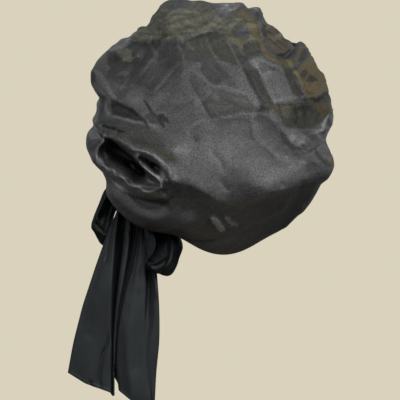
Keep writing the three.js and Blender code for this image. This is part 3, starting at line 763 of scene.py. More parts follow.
# %% Areas of painted light and shade on the left
PAINTED_LIGHT_AND_SHADE_AREAS += [
    area("left edge light", 1.7, [(-119, 90), (-114, 89), (-109, 82), (-105, 77), (-101, 68), (-96, 61), (-100, 60.5),
         (-105, 65), (-110, 70), (-115, 77), (-119, 84)], 1.6, 0.6),
    area("left edge dark", 0.4, [(-125, 80), (-124, 86), (-120, 88), (-118, 84), (-119, 78), (-122, 74)], 1.4, 0.4),
    area("left upright side", 1.8, [(-122, 58), (-114, 58), (-115, 48), (-117, 38), (-118, 34), (-123, 36),
         (-122, 46)], 1.6, 0.5),
    area("left upright", 0.62, [(-110, 57), (-109.5, 46), (-109.5, 36), (-115, 34), (-115.5, 40), (-113, 48)], 1.2,
         0.5),
    area("beside the upright", 1.25, [(-108, 58), (-102, 58), (-104, 50), (-102, 44), (-108, 44), (-108, 50)], 1.4,
         0.6),
    area("first crease", 0.42, [(-103, 61), (-98, 59), (-92, 55.5), (-86, 52.5), (-80, 50.5), (-76, 46.5),
         (-70, 41.5), (-66, 37.5), (-64.5, 34.5), (-67, 34.5), (-70, 37), (-76, 38.5), (-84, 40.5), (-90, 41.5),
         (-96, 43), (-101, 44.5), (-102, 52)], 1.2, 0.5),
    area("first crease's foot", 0.36, [(-101, 50), (-92, 47), (-82, 45), (-74, 41), (-72, 38.5), (-76, 38.5),
         (-84, 40.5), (-90, 41.5), (-96, 43), (-101, 44.5)], 2.4, 0.5),
    area("first crease's tip", 0.44, [(-80, 50), (-76, 46.5), (-70, 41.5), (-66, 37.5), (-64.5, 34.5), (-67, 34.5),
         (-70, 37), (-76, 38.5), (-82, 42)], 2, 0.5),
    area("second crease", 0.38, [(-70, 60), (-67, 58), (-63, 52), (-61, 47.5), (-59.5, 45.5), (-55, 44), (-51, 45.5),
         (-48, 43), (-45, 41), (-43, 38), (-44, 35), (-47, 36), (-48.5, 38), (-47.5, 34), (-48, 31), (-51, 32),
         (-54, 35), (-57, 36), (-60, 38), (-62, 41), (-61, 44), (-64, 50), (-67, 55)], 1, 0.4),
    area("second crease's side", 0.5, [(-61, 47), (-64, 46), (-68, 44), (-68, 40), (-65, 36), (-59, 34.5),
         (-54, 35.5), (-54, 43)], 1.2, 0.4),
    area("lobe's light", 1.9, [(-126, 27), (-121, 30), (-117, 27), (-112, 22), (-116, 20), (-122, 19), (-125, 22)],
         1.2, 0.3),
    area("lobe's shade", 0.7, [(-126, 17), (-117, 19), (-112, 17), (-117, 9), (-118, 3), (-124, 8)], 1.4, 0.5),
    area("brow", 0.74, [(-114, 40), (-96, 40), (-70, 33), (-50, 24), (-46, 12), (-58, 9), (-76, 12), (-90, 18),
         (-106, 24)], 3, 1),
]

# %% Areas of painted light and shade in the pocket and below it
PAINTED_LIGHT_AND_SHADE_AREAS += [
    area("under the upper lip", 1.1, [(-110, 23), (-106, 20.5), (-100, 18), (-95, 17.5), (-92, 15.5), (-86, 11),
         (-80, 8), (-70, 5), (-60, 1), (-50, -6), (-43, -14), (-40, -22), (-49, -24), (-54, -14), (-64, -4), (-72, 2),
         (-80, 5), (-86, 8), (-92, 10.5), (-97, 12), (-101, 15), (-106, 18.5)], 1, 0.2),
    area("pocket mouth", 1.8, [(-110.5, 22), (-110, 14), (-109, 9), (-104, 5), (-96, 4), (-88, -1), (-80, -8),
         (-74, -14), (-70, -12), (-72, -5), (-76, 0), (-80, 4), (-86, 7), (-92, 9.5), (-97, 11.5), (-101, 14.5),
         (-106, 18.5)], 1.2, 0.3),
    area("pocket's top corner", 5, [(-110.5, 21), (-110.5, 14), (-108, 10), (-102, 11.5), (-98, 12), (-101, 14.5),
         (-105, 18)], 1.2, 0.3),
    area("pocket's floor", 0.45, [(-109, 7), (-104, 5), (-96, 4), (-88, 1), (-80, -4), (-74, -8), (-68, -12),
         (-67, -16), (-70, -19), (-78, -16), (-86, -11.5), (-92, -8), (-100, -3), (-107, 1)], 1.6, 0.4),
    area("pocket's far wall", 0.1, [(-90, -1), (-84, -2), (-78, -4), (-70, -10), (-69, -17), (-74, -20), (-81, -16.5),
         (-89, -10)], 1, 0.1),
    area("pocket's left side", 3, [(-116, 12), (-112, 14), (-110, 9), (-107, 4), (-104, 1), (-108, -2), (-114, 0),
         (-117, 5)], 1.6, 0.6),
    area("pocket end", 0.0, [(-73, -1), (-66, -2), (-58, -5), (-52, -10), (-57, -13), (-62, -9), (-68, -4)], 1.2,
         0.2),
    area("gap by the lobe", 0.12, [(-115.5, 26), (-112, 24.5), (-110.5, 23), (-111, 21.5), (-112.5, 21)], 0.8, 0.1),
    area("inner lip", 1.2, [(-112, 0), (-104, -2), (-92, -7), (-80, -13), (-72, -19), (-62, -17), (-54, -22),
         (-52, -27), (-60, -29), (-76, -27), (-82, -22), (-92, -18), (-102, -11), (-109, -7)], 1.4, 0.6),
    area("lip's left turn", 0.6, [(-120, 14), (-113, 15), (-110, 6), (-108, -3), (-113, -6), (-121, 2)], 2, 0.4),
    area("lip's wide part", 0.6, [(-112, -3), (-104, -6), (-96, -12), (-92, -18), (-97, -21), (-104, -15),
         (-112, -9)], 1.6, 0.4),
    area("lip's bright spot", 0.45, [(-113, 28), (-108, 28.5), (-104, 26), (-105, 22), (-109, 21.5), (-112, 24)], 1.2,
         0.3),
    area("roll under the lip", 2, [(-113, -9), (-104, -14.5), (-96, -19), (-90, -24.5), (-82, -29), (-70, -33),
         (-56, -35), (-46, -34), (-42, -30), (-46, -39), (-56, -42.5), (-70, -41), (-82, -37), (-94, -31),
         (-104, -22), (-110, -16)], 1.6, 0.4),
    area("roll's right part", 2, [(-80, -32), (-64, -34), (-50, -33.5), (-43, -29), (-41, -33), (-46, -39),
         (-56, -42.5), (-70, -41), (-78, -37)], 2, 0.6),
    area("dimple a", 0.12, [(-112, 34.5), (-107, 33.5), (-103, 32), (-98, 31.5), (-98, 28.5), (-102, 29),
         (-106, 30.5), (-112, 32)], 1, 0.2),
    area("dimple b", 0.2, [(-97, 29.5), (-92, 28.5), (-86.5, 28), (-88, 26.5), (-91, 26), (-95, 25.5)], 1, 0.2),
    area("beside the pocket", 0.75, [(-47, -2), (-41, -10), (-38, -22), (-30, -22), (-20, -26), (-8, -34), (0, -40),
         (-20, -42), (-44, -40), (-52, -30), (-48, -18)], 2, 1),
    area("under roll", 0.42, [(-84, -38), (-75, -44), (-64, -48), (-54, -47), (-44, -41), (-38, -37), (-44, -46),
         (-55, -52), (-66, -53), (-77, -48)], 2, 0.6),
    area("glint a", 2.1, [(-0.5, -61.5), (5.5, -61), (11.5, -69), (14.5, -75), (9, -76), (2, -68)], 1.6, 1),
    area("glint b", 1.9, [(12, -59.5), (18, -61), (27.5, -69), (22, -70.5), (15, -65)], 1.6, 1),
    area("crest's light", 1.12, [(2, -28), (12, -22), (30, -18), (50, -20), (62, -26), (52, -37), (34, -40),
         (26, -40), (20, -37.5), (12, -41), (5, -42.5)], 4, 1),
    area("right edge shade", 0.62, [(92, -22), (108, -20), (122, -14), (112, -36), (98, -56), (80, -78), (60, -88),
         (72, -66), (86, -46)], 4, 1),
]
print(f"{len(PAINTED_LIGHT_AND_SHADE_AREAS)} areas of sheen")

# %% [markdown]
# Lines are the last touch: a crease is often no more than a thin painted highlight with a thin painted
# shade beside it.

# %% Lines of painted light and shade at the top
# painted light and shade: a line above 1 is a painted highlight, and one below 1 a painted shade
PAINTED_LIGHT_AND_SHADE_LINES = [
    stroke("long slat", 1.55, [(-49, 117), (-57, 107), (-62, 98), (-68, 90), (-73, 83)], 1.1),
    stroke("lower slat", 1.5, [(-38, 91), (-42, 86), (-48, 79), (-53, 73), (-59, 67)], 1.0),
    stroke("below the lower slat", 0.8, [(-27, 94), (-40, 84), (-54, 66)], 3),
    stroke("upper nick", 1.6, [(-63, 118), (-60, 112), (-57, 106)], 1.1),
    stroke("right nick", 1.7, [(-26, 118), (-22, 113), (-17, 109)], 1.2),
    stroke("upright nick", 1.6, [(-34, 117), (-31.5, 106)], 1.1),
    stroke("faint slat a", 1.5, [(-70, 102), (-77, 93)], 1.1),
    stroke("faint slat b", 1.7, [(-83, 83), (-88, 76), (-94, 69)], 1.3),
    stroke("faint slat c", 1.4, [(-52, 97), (-45, 101)], 1.1),
    stroke("faint slat d", 1.4, [(-58, 84), (-64, 77)], 1.1),
    stroke("steep light a", 1.8, [(-4, 115), (0, 108), (6, 100)], 1.1),
    stroke("steep light b", 2.0, [(15, 121), (20, 111), (25, 101), (29, 95)], 1.1),
    stroke("top line a", 0.6, [(-52, 141), (-46, 139), (-42, 135)], 1.3),
    stroke("top line b", 0.6, [(-57, 132), (-50, 130), (-42, 131)], 1.3),
    stroke("top line c", 0.65, [(-50, 129), (-49, 126), (-44, 125), (-41, 128)], 1.2),
    stroke("top line d", 0.6, [(-33, 128), (-28, 125), (-24, 127), (-20, 124)], 1.4),
    stroke("top line e", 0.7, [(-36, 141), (-27, 134), (-16, 131)], 1.3),
    stroke("top line f", 0.75, [(-10, 151), (-8, 140), (-3, 131)], 1.3),
    stroke("top line g", 0.75, [(-60, 146), (-52, 148), (-44, 145), (-34, 147)], 1.3),
    stroke("top line h", 0.75, [(4, 138), (12, 135), (20, 137)], 1.3),
    stroke("top line i", 0.7, [(-70, 128), (-62, 125), (-56, 126)], 1.3),
    stroke("top light a", 1.5, [(-10, 159), (-18, 150), (-30, 147)], 1.3),
    stroke("top light b", 1.3, [(-66, 124), (-56, 122), (-46, 122), (-36, 122)], 1.3),
    stroke("top light c", 1.3, [(-40, 136), (-28, 139), (-18, 136), (-8, 134)], 1.3),
    stroke("top edge light", 2.2, [(7, 156.5), (12, 155.6), (18, 155)], 1.3),
    stroke("top edge arc", 1.6, [(27.5, 158), (26.5, 154), (22, 150.5), (16, 149.5)], 0.9),
    stroke("top corner light", 2.4, [(40, 151.8), (43, 152), (47, 150.5)], 1.3),
    stroke("top corner dark", 0.6, [(44, 147.5), (49, 146)], 2.2),
    stroke("ear rim line", 1.7, [(48.5, 135), (49.5, 129), (52, 121)], 0.9),
    stroke("ear rim dark", 0.55, [(54, 139), (53.5, 130), (55.5, 119)], 1.2),
    stroke("ear wrinkle a", 0.6, [(56, 131), (62, 123), (70, 116), (79, 111)], 1.2),
    stroke("ear wrinkle b", 0.65, [(57, 124), (63, 117), (72, 110)], 1.2),
    stroke("ear wrinkle c", 1.3, [(56, 128), (64, 120), (72, 114)], 1.1),
    stroke("ribbon's lower line", 0.6, [(47, 117), (52, 104), (60, 98.5), (70, 95)], 1.1),
    stroke("bronze ridge", 1.4, [(83, 87), (87, 86), (90, 79), (94, 72)], 1.2),
    stroke("bronze shade", 0.7, [(92, 73), (99, 66), (108, 66)], 1.4),
]

# %% Lines of painted light and shade in the middle and on the right
PAINTED_LIGHT_AND_SHADE_LINES += [
    stroke("steep light c", 1.5, [(28, 113), (31, 107), (36, 102)], 1.1),
    stroke("slant strip's edge", 1.3, [(4, 99), (14, 97), (24, 94), (29, 92)], 1.2),
    stroke("cross light a", 1.3, [(-22, 92), (-12, 84), (-3, 76), (6, 70)], 1.2),
    stroke("cross light b", 1.3, [(-13, 88), (-6, 80), (2, 74), (20, 71), (38, 63)], 1.2),
    stroke("lens light", 1.3, [(-28, 27), (-20, 33), (-10, 37.5), (0, 39.8), (12, 41.2), (22, 43.5), (32, 46.5)],
           1.0),
    stroke("lens streak a", 1.5, [(22, 60), (30, 58), (38, 57)], 1.4),
    stroke("lens streak b", 1.25, [(-4, 54), (4, 54), (12, 52)], 1.8),
    stroke("lens streak c", 0.75, [(2, 48), (14, 46), (30, 49), (42, 48)], 1.4),
    stroke("lens streak d", 1.25, [(9, 62), (14, 57), (22, 51)], 1.1),
    stroke("lens streak e", 0.75, [(6, 63), (16, 58), (30, 52), (40, 50)], 1.2),
    stroke("fall streak a", 0.75, [(34, 90), (40, 78), (48, 64), (54, 54)], 1.3),
    stroke("fall streak b", 1.25, [(45, 72), (51, 62), (57, 56)], 1.5),
    stroke("slanting streak a", 1.3, [(-4, 96), (6, 88), (16, 80)], 1.2),
    stroke("slanting streak b", 0.75, [(2, 94), (10, 86), (20, 77)], 1.2),
    stroke("dark line", 0.55, [(-23, 80), (-15.5, 67), (-9.5, 56), (-5, 48), (0, 41), (6, 33)], 1.1),
    stroke("dark line's light", 1.3, [(-17, 66), (-11, 56), (-6.5, 48), (-3, 42)], 1.0),
    stroke("curl a", 0.5, [(36, 41), (40, 33), (40, 24), (44, 17)], 1.1),
    stroke("curl b", 0.55, [(51, 11), (57, 8), (61, 3), (67, 0)], 1.1),
    stroke("curl c", 0.6, [(-1, 7), (6, 2), (9, -4)], 1.1),
    stroke("crest nick", 0.5, [(11, -25), (15, -31), (20, -33)], 1.2),
    stroke("short nick", 0.45, [(-19, 22), (-15, 17)], 1.2),
    stroke("cross seam", 0.62, [(60, 56), (68, 55), (77, 54), (87, 56), (103, 58), (119, 62)], 1.2),
    stroke("seam light", 1.6, [(80, 57), (92, 57), (104, 60)], 1.1),
    stroke("corner's left line", 0.6, [(68, 56), (69.5, 48), (73, 38)], 1.4),
    stroke("hollow line b", 0.6, [(84, 52), (87, 42), (84, 32)], 1.5),
    stroke("hollow line c", 0.6, [(97, 50), (94, 40), (96, 32)], 1.5),
    stroke("tip line a", 0.4, [(105, 12), (108, 4), (114, -3), (120, -9)], 1.8),
    stroke("knob's outer edge", 1.9, [(116, 21), (118, 26), (122, 31), (124, 37), (123.5, 43)], 1.5),
    stroke("knob's edge", 1.9, [(113, 26), (114, 34), (117, 41), (121, 44.5)], 1.6),
    stroke("tip line b", 0.6, [(100, 24), (106, 20), (111, 14)], 1.5),
    stroke("tip line c", 0.6, [(106, -14), (111, -17)], 1.5),
]

# %% Lines of painted light and shade on the left and round the pocket
PAINTED_LIGHT_AND_SHADE_LINES += [
    stroke("first crease light", 2.0, [(-103, 42), (-96, 42), (-88, 40), (-80, 37), (-72, 36), (-65, 34)], 1.3),
    stroke("second crease line", 0.5, [(-69.5, 60), (-65, 53), (-60, 45)], 1.2),
    stroke("above the second crease", 1.2, [(-66, 62), (-59, 54), (-50, 49)], 3),
    stroke("second crease light", 1.5, [(-62, 54), (-58, 49), (-55, 46), (-50, 47), (-45, 43)], 1.1),
    stroke("crease tip", 1.9, [(-51, 40), (-49, 36.5), (-47, 33)], 0.9),
    stroke("first crease's sliver", 1.8, [(-67, 40.5), (-65.5, 38), (-63.5, 35)], 0.9),
    stroke("left upright light", 1.7, [(-108, 60), (-108, 50), (-104, 43)], 1.3),
    stroke("left ridge light", 1.5, [(-116, 72), (-106, 62), (-98, 58), (-86, 53), (-79, 50), (-72, 43)], 1.3),
    stroke("upper lip's edge", 2.6, [(-121, 34), (-118, 30), (-114, 27), (-110, 24), (-106, 21.2), (-103, 20.8),
           (-99, 18.6), (-95, 18), (-91, 15.5), (-84, 11), (-78, 8.5), (-70, 7), (-62, 4), (-56, 1), (-50, -4),
           (-44, -10), (-40, -17)], 1.2),
    stroke("upper lip's far edge", 1.8, [(-122, 35), (-118, 30.5), (-116, 28.8)], 1.3),
    stroke("lower lip's edge", 2.6, [(-111, 22), (-112, 17), (-117, 9), (-118, 3), (-113, -3), (-109, -9),
           (-101, -12), (-95, -16), (-91, -20), (-84, -21), (-81, -26), (-76, -28), (-68, -29), (-60, -30),
           (-52, -30), (-49, -26), (-51, -22)], 1.3),
    stroke("streak in the pocket", 0.3, [(-98, 5.5), (-90, 1), (-82, -6), (-74, -14.5)], 1.8),
    stroke("curled lip's edge", 5, [(-48, -25), (-51, -22), (-58, -17), (-66, -10), (-71, -5), (-74, -1)], 1.2),
    stroke("lobe's line", 1.4, [(-125, 11), (-120, 16), (-113, 20.5)], 1.0),
    stroke("lobe's upper line", 1.5, [(-114, 20.5), (-111, 17.5), (-111.5, 15)], 1.0),
    stroke("lobe's lower line", 1.3, [(-116, 10), (-113, 5), (-114, -1), (-108, -6)], 1.1),
    stroke("lower left rim", 1.7, [(-109, -32), (-105, -41), (-98, -50), (-87, -60), (-75, -67), (-62, -71)], 3.5),
    stroke("roll's upper light", 1.5, [(-108, -19), (-98, -26), (-90, -31), (-84, -34)], 1.1),
    stroke("under roll's line", 0.55, [(-92, -34), (-84, -38), (-75, -44), (-66, -49)], 1.4),
    stroke("roll's lower light", 1.1, [(-70, -54), (-58, -56), (-46, -52)], 2.5),
    stroke("lower hem line", 0.5, [(-30, -81), (-20, -84.5), (-8, -85), (6, -84)], 1.2),
    stroke("left hem light", 1.5, [(-60, -74), (-48, -74), (-34, -70)], 1.2),
    stroke("between the left folds", 1.15, [(-102, 58), (-88, 57), (-72, 58)], 4),
    stroke("right ray a", 1.6, [(82, -40), (76, -50), (71, -56)], 1.1),
    stroke("right ray b", 1.5, [(97, -44), (90, -58), (80, -70)], 1.2),
    stroke("right ray c", 1.5, [(104, -36), (98, -48)], 1.2),
]
print(f"{len(PAINTED_LIGHT_AND_SHADE_LINES)} lines of sheen")

# %% [markdown]
# A painted olive reflection lies over the top and in the two left patches, and a painted bronze reflection
# along the right edge. Some of these are the same flats that have painted light and shade of their own, so
# their outlines are taken from the table of painted light and shade.

# %% Areas of painted olive and bronze reflection
def painted_reflection_row(name, value):
    """A row of painted reflection for the named area of painted light and shade, with a value of its own."""
    same, = [row for row in PAINTED_LIGHT_AND_SHADE_AREAS if row["name"] == name]
    return dict(same, value=value)


# painted olive reflection of the warm room
PAINTED_OLIVE_REFLECTION_AREAS = [
    area("top", 0.9, [(-92, 126), (-84, 125), (-80, 121), (-76, 119.5), (-62, 117.5), (-50, 119), (-40, 120),
         (-29, 119), (-27, 123), (-22, 124), (-20, 121), (-13, 126), (-9, 128), (-3, 118), (-1, 119), (-5, 127),
         (4, 129), (11, 128), (16, 121), (22, 116), (30, 112), (34, 116), (40, 120), (47, 121), (50, 128), (48, 136),
         (44, 144), (36, 152), (22, 152), (24, 145), (14, 141), (4, 144), (-2, 150), (-2, 170), (-16, 170),
         (-22, 153), (-34, 149), (-44, 152), (-52, 160), (-66, 138), (-76, 140)], 2, 1.6),
    painted_reflection_row("grey cell", 0.1),
    area("grey fleck", 0.3, [(-34, 129), (-24, 129), (-22, 124), (-28, 124), (-33, 125)], 1.6, 0.8),
    painted_reflection_row("left patch", 0.9),
    painted_reflection_row("far patch a", 0.8),
    painted_reflection_row("far patch b", 0.8),
    area("lip patch", 0.8, [(-64, 9), (-58, 11), (-52, 12.5), (-44, 6), (-34, 1), (-30, -1), (-38, -6), (-42, -5),
         (-48, 1), (-56, 5)], 1.4, 0.8),
    area("greenish dark", 0.45, [(-29, 119), (-13, 126), (11, 128), (30, 112), (48, 118), (50, 105), (36, 100),
         (29, 94), (4, 100), (-10, 99), (-28, 104)], 2, 1.6),
    area("greenish fall", 0.4, [(30, 91), (40, 91), (53, 76), (64, 57), (58, 47), (46, 66), (37, 80)], 1.6, 1),
    area("greenish lens", 0.15, [(0, 42), (51, 46), (36, 62), (8, 69), (-6, 52)], 2, 1),
    area("ear", 0.5, [(64, 105), (68, 100), (76, 99.5), (84, 101), (91, 112), (97, 108), (96, 100), (90, 92),
         (86, 84), (92, 68), (84, 64), (80, 72), (76, 86), (72, 96), (80, 100), (74, 104)], 1.4, 0.6),
    area("dark corner", 0.55, [(60, 55), (90, 54), (120, 57), (118, 42), (108, 34), (100, 29), (88, 30), (72, 34)], 2,
         1),
    area("brow", 0.35, [(-96, 28), (-60, 28), (-46, 18), (-58, 10), (-84, 14), (-100, 22)], 4, 2),
]
# painted bronze reflection of the warm room
PAINTED_BRONZE_REFLECTION_AREAS = [
    area("top corner", 0.45, [(24, 150), (30, 151), (36, 147), (41, 141), (47, 134), (50, 124), (48, 119), (40, 120),
         (39, 127), (39, 134), (32, 138), (26, 142), (22, 147)], 1.6, 1),
    area("olive tongue", 0.35, [(8, 131), (14, 129), (20, 126), (27, 121), (34, 120), (38, 117.5), (34, 116),
         (30, 112), (26, 115), (20, 119), (16, 123), (12, 127)], 1, 0.6),
    area("ribbon", 0.75, [(46, 122), (48, 115), (50, 110), (54, 103), (60, 99.5), (66, 97), (72, 95), (76, 92),
         (79, 92), (82, 95), (86, 98), (89, 104), (91, 110), (95, 112), (92, 117), (87, 110), (86, 105), (84, 101),
         (78, 99.5), (72, 99), (66, 101), (60, 105), (56, 110), (53, 116), (51, 123)], 1.2, 0.5),
    area("back layer", 0.5, [(54, 140), (60, 137), (70, 129), (79, 120), (80, 113), (78, 110), (74, 105.5),
         (66, 105.5), (60, 110), (58, 116), (55, 124), (53, 131)], 1.2, 0.5),
    area("right field", 0.85, [(82, 87), (85, 88), (88, 86), (90, 92), (94, 97), (98, 102), (100, 108), (110, 98),
         (122, 84), (124, 74), (120, 68), (113, 66), (106, 62), (100, 60), (97, 62), (94, 68), (91, 76), (87, 84)],
         1.2, 0.8),
    painted_reflection_row("hole a", 0.35),
    painted_reflection_row("hole b", 0.35),
    painted_reflection_row("under the seam a", 0.5),
    painted_reflection_row("under the seam b", 0.6),
    painted_reflection_row("under the seam c", 0.7),
    area("low fleck", 0.8, [(75, 41), (79, 45), (80, 43), (77, 40)], 1, 0.3),
    area("tip", 0.9, [(119, 4), (123, 0), (127, -6), (124, -9), (120, -4)], 1.2, 0.4),
]

print(f"{len(PAINTED_OLIVE_REFLECTION_AREAS)} areas of olive and {len(PAINTED_BRONZE_REFLECTION_AREAS)} of bronze")

# %% [markdown]
# A point takes an area's value when it lies deep enough inside the outline, and a line's when it lies near
# enough to it. Both are measured on the chart, for all points at once.

# %% Paint areas and lines
AROUND = 8  # an area or a line is worked out this many millimetres past its ends
JAGS = ((9, 61, 0.35), (4, 62, 0.5), (2.2, 63, 0.5))  # size, seed and amount of what makes an edge ragged
LINE_ENDS = (-0.05, 0.2)  # each end of a line fades over this share of its length


def depth_in(x, z, outline):
    """How far points lie inside a closed outline. Outside it the number is negative."""
    distance, _, _ = near_line(x, z, np.vstack([outline, outline[:1]]))
    inside = np.zeros(x.shape, bool)
    for (x0, z0), (x1, z1) in zip(outline, np.roll(outline, -1, 0)):
        crosses = (z0 > z) != (z1 > z)
        if z0 != z1:
            inside ^= crosses & (x < (x1 - x0) * (z - z0) / (z1 - z0) + x0)
    return np.where(inside, distance, -distance)


def box_round(x, z, outline):
    """Which places are in an outline's box, or just outside it."""
    low, high = outline.min(0) - AROUND, outline.max(0) + AROUND
    return (x > low[0]) & (x < high[0]) & (z > low[1]) & (z < high[1])


def paint_areas(x, z, base, areas):
    value = np.full(x.shape, float(base))
    places = np.stack([x, z, 0 * x], -1)
    jag = sum(amount * slow_wander(places, size, seed) for size, seed, amount in JAGS)
    for a in areas:
        near = box_round(x, z, a["outline"])
        depth = depth_in(x[near], z[near], a["outline"]) + a["ragged"] * jag[near]
        value[near] = mix(value[near], a["value"], smoothstep(depth, -a["soft"] / 2, a["soft"] / 2))
    return value


def paint_strokes(x, z, value, strokes):
    for s in strokes:
        near = box_round(x, z, s["line"])
        distance, _, share = near_line(x[near], z[near], s["line"])
        mask = np.exp(-((distance / s["width"]) ** 2)) * smoothstep(np.minimum(share, 1 - share), *LINE_ENDS)
        value[near] *= mix(1, s["value"], mask)
    return value


# %% [markdown]
# Two more things change over the back. The small flats of the crumple each catch the light a little
# differently, most of all at the top and near the right tip, so the slope of a crumple goes into the painted
# light and shade, as a crumple's height goes into the shape: a flat that faces up is painted lighter, and
# one that faces down darker. And the weave's grain is weaker low down and at the upper left, where the cloth
# is stretched smooth.

# %% Paint what changes over the whole crown
# painted light and shade of the crumple's flats: lighter where they face up, darker where they face down
FLATS_PAINTED_LIGHT_AND_SHADE = ((12, 101, 25, 0.5), (6, 102, 40, 0.4), (4, 103, -30, 0.3))  # size, seed, lean and amount
FLATS_STRETCH = 1.8
CALM, LIVELY = 0.14, 0.6
SLOPE_STEP = 0.4
# painted shade: a soft oval in the middle of the back is painted a little darker
FIELD_CENTRE_X, FIELD_REACH, FIELD_EDGE = 25, 70, 45
PAINTED_FIELD_SHADE = 0.07
LEAST_GRAIN = 0.55
BACK_END = (0.5, 0.6)  # the paint fades out past the widest ring


def slope_of_flats(x, z, size, seed, lean):
    """How steeply the crumple climbs upward at places on the chart."""
    flats, up = np.stack([x, 0 * x, z], -1), [0, 0, SLOPE_STEP]
    above, below = [crumple(flats + way, size, seed, lean, FLATS_STRETCH) for way in (up, np.negative(up))]
    return (above - below) / (2 * SLOPE_STEP)


def crown_paint(points, along):
    """Painted light and shade, painted olive and bronze reflections and graininess of the crown's outer skin."""
    x, z = charted(points)
    on_back = 1 - smoothstep(along, *BACK_END)
    # painted light and shade from the areas, then the lines
    painted_light_and_shade = paint_strokes(x, z, paint_areas(x, z, 1, PAINTED_LIGHT_AND_SHADE_AREAS), PAINTED_LIGHT_AND_SHADE_LINES)
    near_tip = smoothstep(x, 66, 92) * between(z, -18, -8, 26, 36)
    amounts = mix(CALM, LIVELY, np.maximum(smoothstep(z, 112, 124), near_tip))
    # painted light and shade of the crumple's flats
    for size, seed, lean, amount in FLATS_PAINTED_LIGHT_AND_SHADE:
        painted_light_and_shade *= 1 - amount * amounts * slope_of_flats(x, z, size, seed, lean)
    # painted shade over the middle of the back
    painted_light_and_shade *= 1 - PAINTED_FIELD_SHADE * smoothstep(FIELD_REACH - np.hypot(x - FIELD_CENTRE_X, 1.3 * z), 0, FIELD_EDGE)
    upper_left = smoothstep(z, 40, 60) * (1 - smoothstep(x, 0, 40))
    return {
        "painted_light_and_shade": mix(1, painted_light_and_shade, on_back),
        "painted_olive_reflection": on_back * paint_areas(x, z, 0, PAINTED_OLIVE_REFLECTION_AREAS),
        "painted_bronze_reflection": on_back * paint_areas(x, z, 0, PAINTED_BRONZE_REFLECTION_AREAS),
        "graininess": mix(LEAST_GRAIN, 1, smoothstep(z, -62, -38) * (1 - 0.25 * upper_left)),
    }


# %% [markdown]
# ## The crown's mesh
#
# A round grid would crowd its points at the back and spread them out at the widest ring. So the outer
# skin's back is made of rings of triangles, each ring with six more points than the one inside it, and the
# points are evenly spread. In front of the widest ring the columns run straight on to the hem. The inner
# skin only shows through the face opening, so it is a coarser grid. The two meet in the hem.

# %% Rings of triangles
RINGS = 140
EDGE_ROWS = 3
FRONT_ROWS = 22
INNER_ROWS = 56
RIM_COLUMNS = 6 * RINGS
FRONT_COLUMNS = RIM_COLUMNS // 2


def ring_faces(rings):
    """Triangles between rings of 1, 6, 12, 18 and more points, numbered outward."""
    faces = [(0, 1 + (k + 1) % 6, 1 + k) for k in range(6)]
    first = 1
    for ring in range(1, rings):
        inner, outer = 6 * ring, 6 * (ring + 1)
        after = first + inner
        for side in range(6):
            for k in range(ring + 1):
                a = after + side * (ring + 1) + k
                b = after + (side * (ring + 1) + k + 1) % outer
                i = first + (side * ring + k) % inner
                faces.append((i, b, a))
                if k < ring:
                    faces.append((i, first + (side * ring + k + 1) % inner, b))
        first = after
    return faces


def round_rows(alongs, columns):
    """Places in rows that run round the crown, as across and along."""
    across, along = np.meshgrid(np.arange(columns) / columns, alongs)
    return across.ravel(), along.ravel()


print(f"{len(ring_faces(RINGS))} triangles in the rings")

# %% Make the crown
CROWN_WALL = 1.6
# the inner skin is painted a little darker, with no painted reflection and less grain
INSIDE = {"painted_light_and_shade": 0.7, "painted_olive_reflection": 0, "painted_bronze_reflection": 0, "graininess": 0.6}


def make_crown():
    # the outer skin: rings, a few fine rows past the widest ring, then coarser rows to the hem
    edge_end = 0.5 + 0.5 * EDGE_ROWS / (EDGE_ROWS + FRONT_ROWS)
    ring = np.repeat(np.arange(RINGS + 1), [1] + [6 * k for k in range(1, RINGS + 1)])
    place = np.concatenate([[0.0]] + [np.arange(6 * k) / (6 * k) for k in range(1, RINGS + 1)])
    edge = round_rows(np.linspace(0.5, edge_end, EDGE_ROWS + 1)[1:], RIM_COLUMNS)
    front = round_rows(np.linspace(edge_end, 1, FRONT_ROWS + 1)[1:], FRONT_COLUMNS)
    along = np.concatenate([0.5 * ring / RINGS, edge[1], front[1]])
    outer = crown_cloth(np.concatenate([place, edge[0], front[0]]), along)

    faces = ring_faces(RINGS)
    rim = len(place) - RIM_COLUMNS
    faces += list(grid_faces(EDGE_ROWS + 1, RIM_COLUMNS, True, start=rim))
    last = rim + EDGE_ROWS * RIM_COLUMNS
    start = last + RIM_COLUMNS
    for c in range(FRONT_COLUMNS):
        a, b, d = last + 2 * c, last + 2 * c + 1, last + (2 * c + 2) % RIM_COLUMNS
        near, far = start + c, start + (c + 1) % FRONT_COLUMNS
        faces += [(a, b, near), (b, far, near), (b, d, far)]
    faces += list(grid_faces(FRONT_ROWS, FRONT_COLUMNS, True, start=start))
    hem_out = start + (FRONT_ROWS - 1) * FRONT_COLUMNS

    # the inner skin, from the hem to a single point at the back
    rows = round_rows(np.linspace(POLE_STEP, 1, INNER_ROWS), FRONT_COLUMNS)
    lining = crown_cloth(*rows) - CROWN_WALL * normals_of(crown_cloth, *rows)
    begin = len(outer)
    faces += list(grid_faces(INNER_ROWS, FRONT_COLUMNS, True, flip=True, start=begin))
    tip = begin + len(lining)
    hem_in = tip - FRONT_COLUMNS
    for c in range(FRONT_COLUMNS):
        d = (c + 1) % FRONT_COLUMNS
        faces.append((tip, begin + c, begin + d))
        faces.append((hem_out + c, hem_out + d, hem_in + d, hem_in + c))
    points = np.vstack([outer, lining, lining[:FRONT_COLUMNS].mean(0)])
    print("crown reaches, mm:", outer.min(0).round(), outer.max(0).round())
    crown = make_mesh("crown_satin", points, [face[::-1] for face in faces])
    for name, values in crown_paint(outer, along).items():
        inside = np.full(len(points) - len(values), INSIDE[name])
        keep_with(crown, name, np.concatenate([values, inside]))
    return crown


crown = make_crown()
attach(crown, "root")
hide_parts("crown")

